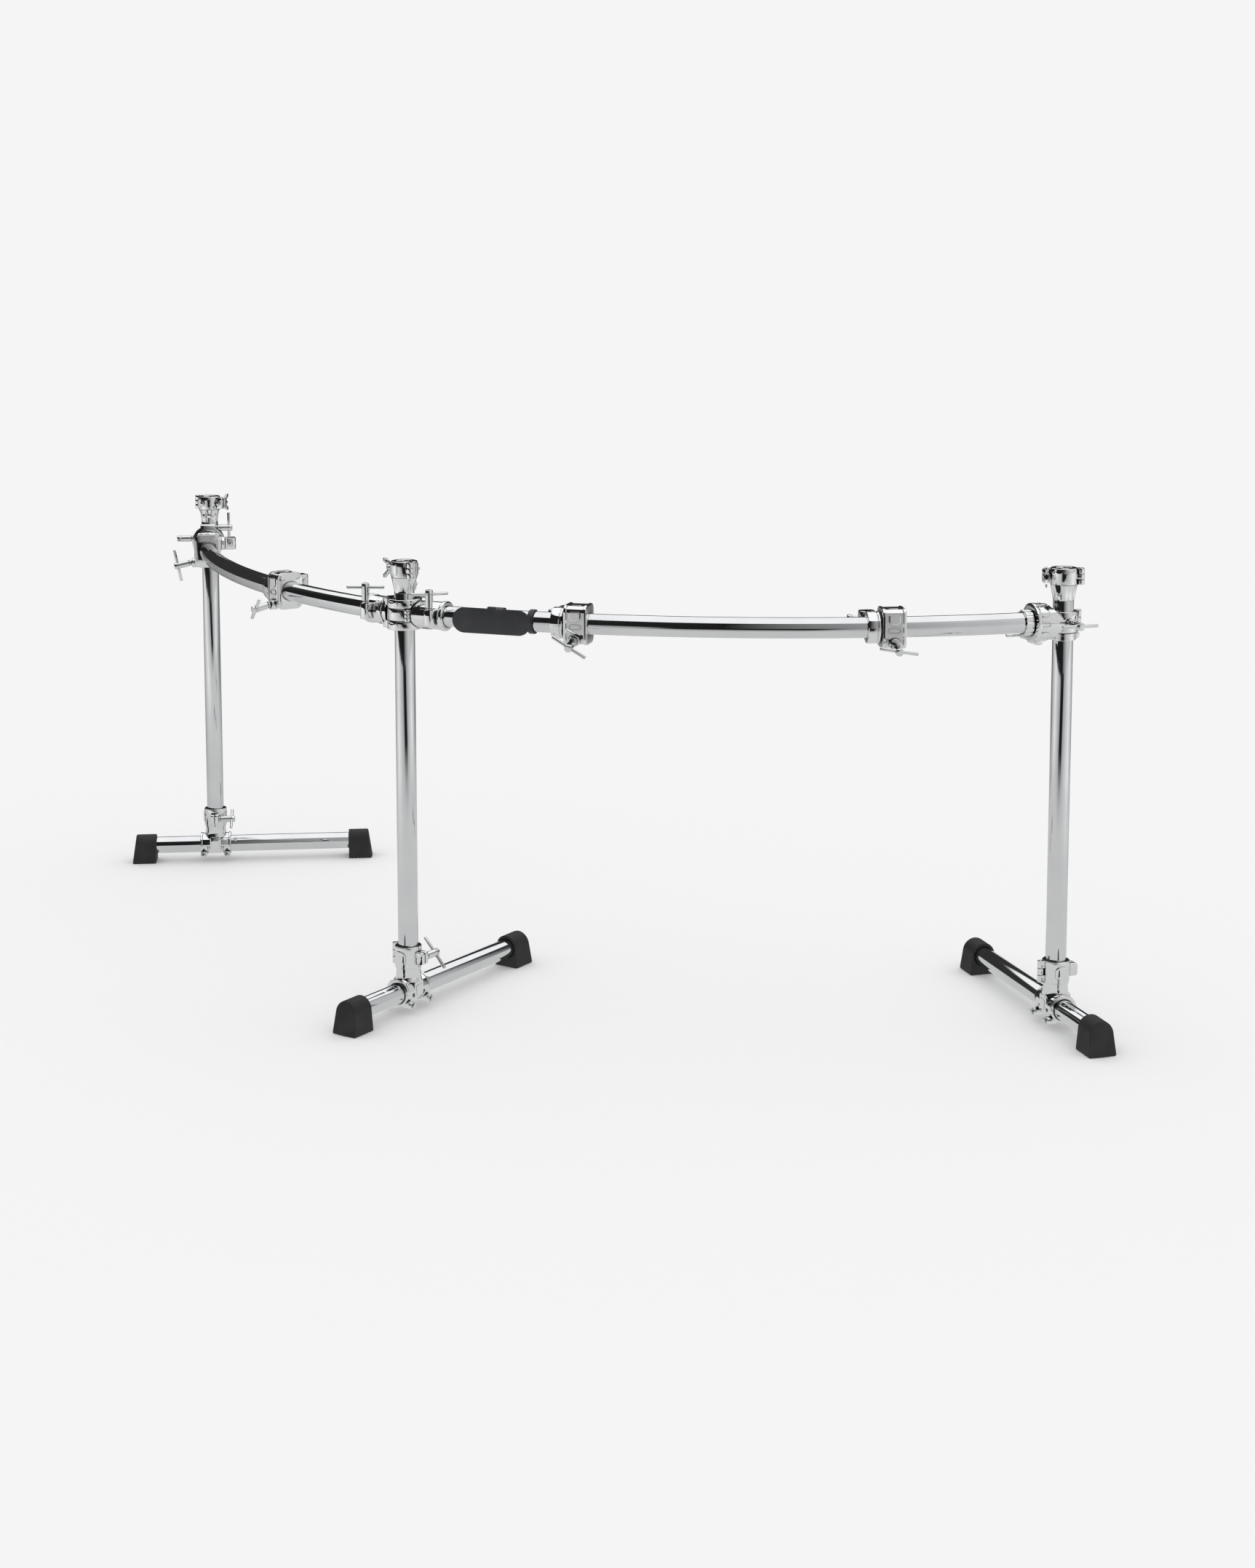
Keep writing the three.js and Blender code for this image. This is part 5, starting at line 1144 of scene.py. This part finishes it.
for name in NAMES:
    leg = leg_place(name)
    body = f"{name}_leg"
    post_skins = straight_tube(POST_BOTTOM, POST_TOP)
    make(f"{name}_post_tube", post_skins, leg, TUBE_CHROME, body, [f"{name}_post"])
    if name != "middle":
        make(f"{name}_post_lock_ring", post_lock_ring(), leg, CAST_CHROME, body)
    foot_tube = moved(straight_tube(-FOOT_TUBE_SHORT, FOOT_TUBE_LONG), (0, 0, FOOT_AXIS), z=(0, 1, 0))
    make(f"{name}_foot_tube", foot_tube, leg, TUBE_CHROME,
         f"{name}_foot_slider", [f"{name}_foot_bar"])
    socket = RUBBER.length - RUBBER.wall - 0.3
    outer = moved(rubber_foot(), (0, -FOOT_TUBE_SHORT + socket, 0))
    make(f"{name}_outer_rubber_foot", outer, leg, RUBBER_BLACK, f"{name}_foot_slider",
         [f"{name}_outer_foot"], 40)
    inner = moved(rubber_foot(), (0, FOOT_TUBE_LONG - socket, 0), (-1, 0, 0))
    make(f"{name}_inner_rubber_foot", inner, leg, RUBBER_BLACK, f"{name}_foot_slider",
         [f"{name}_inner_foot"], 40)
    make(f"{name}_foot_clamp_casting", foot_clamp(), leg, CAST_CHROME, body,
         [f"{name}_foot_clamp"])
    make(f"{name}_foot_strap_casting", foot_strap(), leg, CAST_CHROME, body,
         [f"{name}_foot_strap"])
    make(f"{name}_foot_strap_bolts", strap_bolts(), leg, SCREW_CHROME, body)
    make(f"{name}_foot_gate_casting", foot_gate(), leg, CAST_CHROME, f"{name}_foot_gate_leaf",
         [f"{name}_foot_gate"])
    turn = math.radians(FOOT_TURNS[name])
    bolt_height = (FOOT.low + FOOT.high) / 2
    bolt = moved(t_bolt(FOOT.lug_depth * 2), (FOOT.bolt_at, FOOT.lug_depth + 0.3, bolt_height),
                 (math.cos(turn), 0, -math.sin(turn)), (0, 1, 0))
    make(f"{name}_foot_bolt", bolt, leg, SCREW_CHROME, f"{name}_foot_screw",
         [f"{name}_foot_t_bolt"])

    top = Place(POSTS[name] + np.array([0, 0, POST_TOP * MM]), heading(math.radians(ROD_TURNS[name])))
    make(f"{name}_rod_clamp_casting", rod_clamp(), top, CAST_CHROME, f"{name}_rod_holder",
         [f"{name}_rod_clamp"])
    make(f"{name}_rod_clamp_screws", rod_clamp_screws(), top, SCREW_CHROME, f"{name}_rod_holder")
    make(f"{name}_rod_jaw_casting", rod_jaw(), top, CAST_CHROME, f"{name}_rod_jaw_leaf",
         [f"{name}_rod_jaw"])
    wing_at = (ROD.bolt_at, ROD.lug_depth + 0.3, (ROD.low + ROD.high) / 2)
    wing = moved(wing_screw(ROD.lug_depth * 2), wing_at, (0, 0, 1), (0, 1, 0))
    make(f"{name}_wing_nut", wing, top, SCREW_CHROME, f"{name}_rod_screw",
         [f"{name}_wing_screw"])

for name, side in SIDES.items():
    wing = f"{name}_wing"
    leave = LEAVE if side > 0 else math.pi - LEAVE
    start = Place(bar_point(0, side), heading(leave))
    make(f"{name}_bent_bar", bent_tube(side), start, TUBE_CHROME, wing, [f"{name}_bar"])
    make(f"{name}_bar_lock_ring", bar_lock_ring(side), start, CAST_CHROME, wing)
    arrive = ARRIVE if side > 0 else math.pi - ARRIVE
    at = POSTS[name] + np.array([0, 0, BAR_HEIGHT * MM])
    outer_place = Place(at, heading(arrive), (0, 0, side))
    make(f"{name}_outer_clamp_casting", outer_clamp(), outer_place, CAST_CHROME, wing,
         [f"{name}_outer_clamp"])
    make(f"{name}_bar_grip_bolt", bar_bolt_across(0 if side > 0 else 90), outer_place, SCREW_CHROME, wing)
    make(f"{name}_outer_gate_casting", outer_gate(), outer_place, CAST_CHROME, f"{name}_outer_gate_leaf",
         [f"{name}_outer_gate"])
    make(f"{name}_outer_bolt", post_bolt(-90), outer_place, SCREW_CHROME, f"{name}_outer_screw",
         [f"{name}_outer_post_bolt"])

hub = MIDDLE + np.array([0, 0, BAR_HEIGHT * MM])
ring_place = Place(hub, heading(math.pi + LEAVE))
make("middle_ring_clamp_casting", middle_ring_clamp(), ring_place, CAST_CHROME, "right_wing",
     ["right_inner_clamp"])
make("middle_ring_grip_bolt", bar_bolt_upright(1), ring_place, SCREW_CHROME, "right_wing")
make("middle_ring_gate_casting", middle_ring_gate(), ring_place, CAST_CHROME, "right_inner_gate_leaf",
     ["right_inner_gate"])
make("middle_ring_bolt", post_bolt(END.mid_bolt), ring_place, SCREW_CHROME, "right_inner_screw",
     ["right_inner_post_bolt"])
fork_place = Place(hub, heading(-LEAVE))
make("fork_clamp_casting", fork_clamp(), fork_place, CAST_CHROME, "left_wing",
     ["left_inner_clamp"])
make("fork_grip_bolt", bar_bolt_upright(-1), fork_place, SCREW_CHROME, "left_wing")
make("fork_bolt", post_bolt(END.fork_bolt, (END.fork_low + END.fork_high) / 2), fork_place, SCREW_CHROME,
     "left_inner_screw", ["left_inner_post_bolt"])

# Each accessory clamp's number, place along its bar in millimetres, and side
CLAMP_PLACES = ((1, 296.0, 1), (2, 867.0, 1), (3, 365.0, -1), (4, 1013.0, -1))

for number, place, side in CLAMP_PLACES:
    here = bar_place(place, side)
    make(f"accessory_clamp_casting_{number}", accessory_clamp(), here, CAST_CHROME, f"clamp_{number}",
         [f"accessory_clamp_{number}"])
    make(f"accessory_bolt_{number}", accessory_bolt(number), here, SCREW_CHROME, f"clamp_{number}_screw",
         [f"accessory_t_bolt_{number}"])
    a = ACCESSORY
    swivel = (a.shift - a.half - a.ring_gap - a.ring_width / 2, a.boss_reach + 0.3, HOLDER.rise)
    make(f"rod_holder_casting_{number}", moved(rod_holder(), swivel), here, CAST_CHROME, f"holder_{number}",
         [f"rod_holder_{number}"])
    make(f"rod_holder_screws_{number}", moved(holder_screws(), swivel), here, SCREW_CHROME,
         f"holder_{number}")

make("blank_plate", blank_plate(), bar_place(PLATE.place, 1), PLATE_PLASTIC, "right_wing",
     ["name_plate"])

# Camera, light and floor

# Eye in metres from the middle post's foot, and the camera's heading and downward pitch in degrees
EYE = (2.808, -3.463, 1.4824)
EYE_HEADING = 123.67
EYE_PITCH = 6.70
FLOOR_REACH = 30.0
# Degrees over which the overhead light fades in at its lower edge
LIGHT_EDGE_FADE = (-1.5, 2.5)
STUDIO_CENTRE = (0.53, -0.03)
STUDIO_FRONT = math.radians(-58.8)
PAPER_WHITE = 0.913
DOME_LIGHT = 0.751
# Painted reflection: the floor's glow that only chrome sees, near the rack and out to a distance
NEAR_FLOOR_GLOW = 0.58
FLOOR_NEAR = 0.9
FLOOR_FAR = 3.4
# Brightness seen in the chrome by bearing from the studio's front, in degrees: the far floor's painted glow,
# then the room
FLOOR_RING = [(-180, 0.30), (-155, 0.13), (-120, 0.45), (-80, 0.85), (-50, 0.6), (-28, 0.42), (-19, 0.3),
              (-13, 0.012), (12, 0.01), (18, 0.34), (40, 0.55), (80, 0.85), (120, 0.45), (155, 0.13),
              (180, 0.30)]
ROOM_RING = [(-180, 0.03), (-122, 0.03), (-112, 0.012), (-4, 0.012), (3, 0.12), (9, 0.2), (28, 0.42),
             (48, 0.6),
             (108, 0.5), (126, 0.03), (180, 0.03)]
# Elevation of the overhead light's lower edge by bearing
LIGHT_EDGE_RING = [(-180, 26), (-135, 26), (-112, 54), (112, 54), (135, 26), (180, 26)]


def math_node(tree, operation, first, second=None, third=None):
    node = tree.nodes.new("ShaderNodeMath")
    node.operation = operation
    for index, value in enumerate((first, second, third)):
        if value is None:
            continue
        if hasattr(value, "is_linked"):
            tree.links.new(value, node.inputs[index])
        else:
            node.inputs[index].default_value = value
    return node.outputs[0]


def along(tree, vector, direction):
    node = tree.nodes.new("ShaderNodeVectorMath")
    node.operation = "DOT_PRODUCT"
    tree.links.new(vector, node.inputs[0])
    node.inputs[1].default_value = direction
    return node.outputs["Value"]


def bearing(tree, vector):
    """Angle of a horizontal direction from the studio's front, as a share of a turn from 0 to 1."""
    front = (math.cos(STUDIO_FRONT), math.sin(STUDIO_FRONT), 0)
    left = (-math.sin(STUDIO_FRONT), math.cos(STUDIO_FRONT), 0)
    angle = math_node(tree, "ARCTAN2", along(tree, vector, left), along(tree, vector, front))
    return math_node(tree, "MULTIPLY_ADD", angle, 0.5 / math.pi, 0.5)


def ring_ramp(tree, turn, stops, scale=1.0):
    node = tree.nodes.new("ShaderNodeValToRGB")
    ramp = node.color_ramp
    ramp.interpolation = "LINEAR"
    while len(ramp.elements) < len(stops):
        ramp.elements.new(0.5)
    for element, (angle, value) in zip(ramp.elements, stops):
        element.position = (angle + 180) / 360
        element.color = (value / scale, value / scale, value / scale, 1)
    tree.links.new(turn, node.inputs["Fac"])
    return node.outputs["Color"]


def add_camera():
    """Camera at the photograph's eye: 1482 mm up, seen from outside the curve, pitched down a little."""
    data = bpy.data.cameras.new("photo_camera")
    camera = bpy.data.objects.new("photo_camera", data)
    bpy.context.scene.collection.objects.link(camera)
    camera.location = MIDDLE + np.array(EYE)
    look = math.radians(EYE_HEADING)
    pitch = math.radians(EYE_PITCH)
    camera.rotation_euler = (math.pi / 2 - pitch, 0.0, look - math.pi / 2)
    data.sensor_width = SENSOR
    data.lens = FOCAL_PIXELS / IMAGE_HEIGHT * SENSOR
    data.shift_x = (IMAGE_WIDTH / 2 - AXIS_COLUMN) / IMAGE_HEIGHT
    data.shift_y = (AXIS_ROW - IMAGE_HEIGHT / 2) / IMAGE_HEIGHT
    bpy.context.scene.camera = camera


def add_floor():
    """White paper floor. To chrome it glows instead, a painted reflection: grey near the rack, and light or
    dark further off by bearing.
    """
    mesh = bpy.data.meshes.new("studio_floor")
    corners = np.array([[-1, -1, 0], [1, -1, 0], [1, 1, 0], [-1, 1, 0]]) * FLOOR_REACH
    mesh.from_pydata(corners.tolist(), [], [[0, 1, 2, 3]])
    floor = bpy.data.objects.new("studio_floor", mesh)
    bpy.context.scene.collection.objects.link(floor)
    material, tree, shader = new_material("paper_floor")
    shader.inputs["Base Color"].default_value = (PAPER_WHITE, PAPER_WHITE, PAPER_WHITE, 1)
    shader.inputs["Roughness"].default_value = 1.0
    shader.inputs["Specular IOR Level"].default_value = 0.0
    place = tree.nodes.new("ShaderNodeVectorMath")
    place.operation = "SUBTRACT"
    tree.links.new(tree.nodes.new("ShaderNodeNewGeometry").outputs["Position"], place.inputs[0])
    place.inputs[1].default_value = (*STUDIO_CENTRE, 0)
    length = tree.nodes.new("ShaderNodeVectorMath")
    length.operation = "LENGTH"
    tree.links.new(place.outputs[0], length.inputs[0])
    far = soft_step(tree, length.outputs["Value"], FLOOR_NEAR, FLOOR_FAR)
    ring = ring_ramp(tree, bearing(tree, place.outputs[0]), FLOOR_RING)
    # Painted reflection: an emission that only glossy rays see
    seen = tree.nodes.new("ShaderNodeEmission")
    tree.links.new(mix_colour(tree, far, (NEAR_FLOOR_GLOW, NEAR_FLOOR_GLOW * 1.01, NEAR_FLOOR_GLOW), ring),
                   seen.inputs["Color"])
    chooser = tree.nodes.new("ShaderNodeMixShader")
    tree.links.new(tree.nodes.new("ShaderNodeLightPath").outputs["Is Glossy Ray"], chooser.inputs[0])
    tree.links.new(shader.outputs[0], chooser.inputs[1])
    tree.links.new(seen.outputs[0], chooser.inputs[2])
    tree.links.new(chooser.outputs[0], tree.nodes["Material Output"].inputs["Surface"])
    mesh.materials.append(material)


def add_world():
    """Paper white to the camera, an even light that is stronger from above to dull surfaces, and to
    chrome a room with an overhead light over a dark or grey wall, by bearing."""
    world = bpy.data.worlds.new("studio")
    world.use_nodes = True
    tree = world.node_tree
    output = tree.nodes["World Output"]
    backdrop = tree.nodes["Background"]
    backdrop.inputs["Color"].default_value = (PAPER_WHITE, PAPER_WHITE, PAPER_WHITE, 1)
    direction = tree.nodes.new("ShaderNodeTexCoord").outputs["Generated"]
    up = along(tree, direction, (0, 0, 1))
    dome = tree.nodes.new("ShaderNodeBackground")
    tree.links.new(math_node(tree, "MULTIPLY_ADD", math_node(tree, "MAXIMUM", up, 0.0), DOME_LIGHT,
                             DOME_LIGHT),
                   dome.inputs["Strength"])
    turn = bearing(tree, direction)
    elevation = math_node(tree, "DEGREES", math_node(tree, "ARCSINE", up))
    edge = math_node(tree, "MULTIPLY", ring_ramp(tree, turn, LIGHT_EDGE_RING, 90.0), 90.0)
    lit = soft_step(tree, math_node(tree, "SUBTRACT", elevation, edge), *LIGHT_EDGE_FADE)
    room = tree.nodes.new("ShaderNodeBackground")
    wall = ring_ramp(tree, turn, ROOM_RING)
    tree.links.new(mix_colour(tree, lit, wall, (0.98, 0.985, 0.99)), room.inputs["Color"])
    path = tree.nodes.new("ShaderNodeLightPath")
    to_chrome = tree.nodes.new("ShaderNodeMixShader")
    tree.links.new(path.outputs["Is Glossy Ray"], to_chrome.inputs[0])
    tree.links.new(dome.outputs[0], to_chrome.inputs[1])
    tree.links.new(room.outputs[0], to_chrome.inputs[2])
    to_camera = tree.nodes.new("ShaderNodeMixShader")
    tree.links.new(path.outputs["Is Camera Ray"], to_camera.inputs[0])
    tree.links.new(to_chrome.outputs[0], to_camera.inputs[1])
    tree.links.new(backdrop.outputs[0], to_camera.inputs[2])
    tree.links.new(to_camera.outputs[0], output.inputs["Surface"])
    bpy.context.scene.world = world


add_camera()
add_floor()
add_world()
bpy.context.scene.view_settings.view_transform = "Standard"
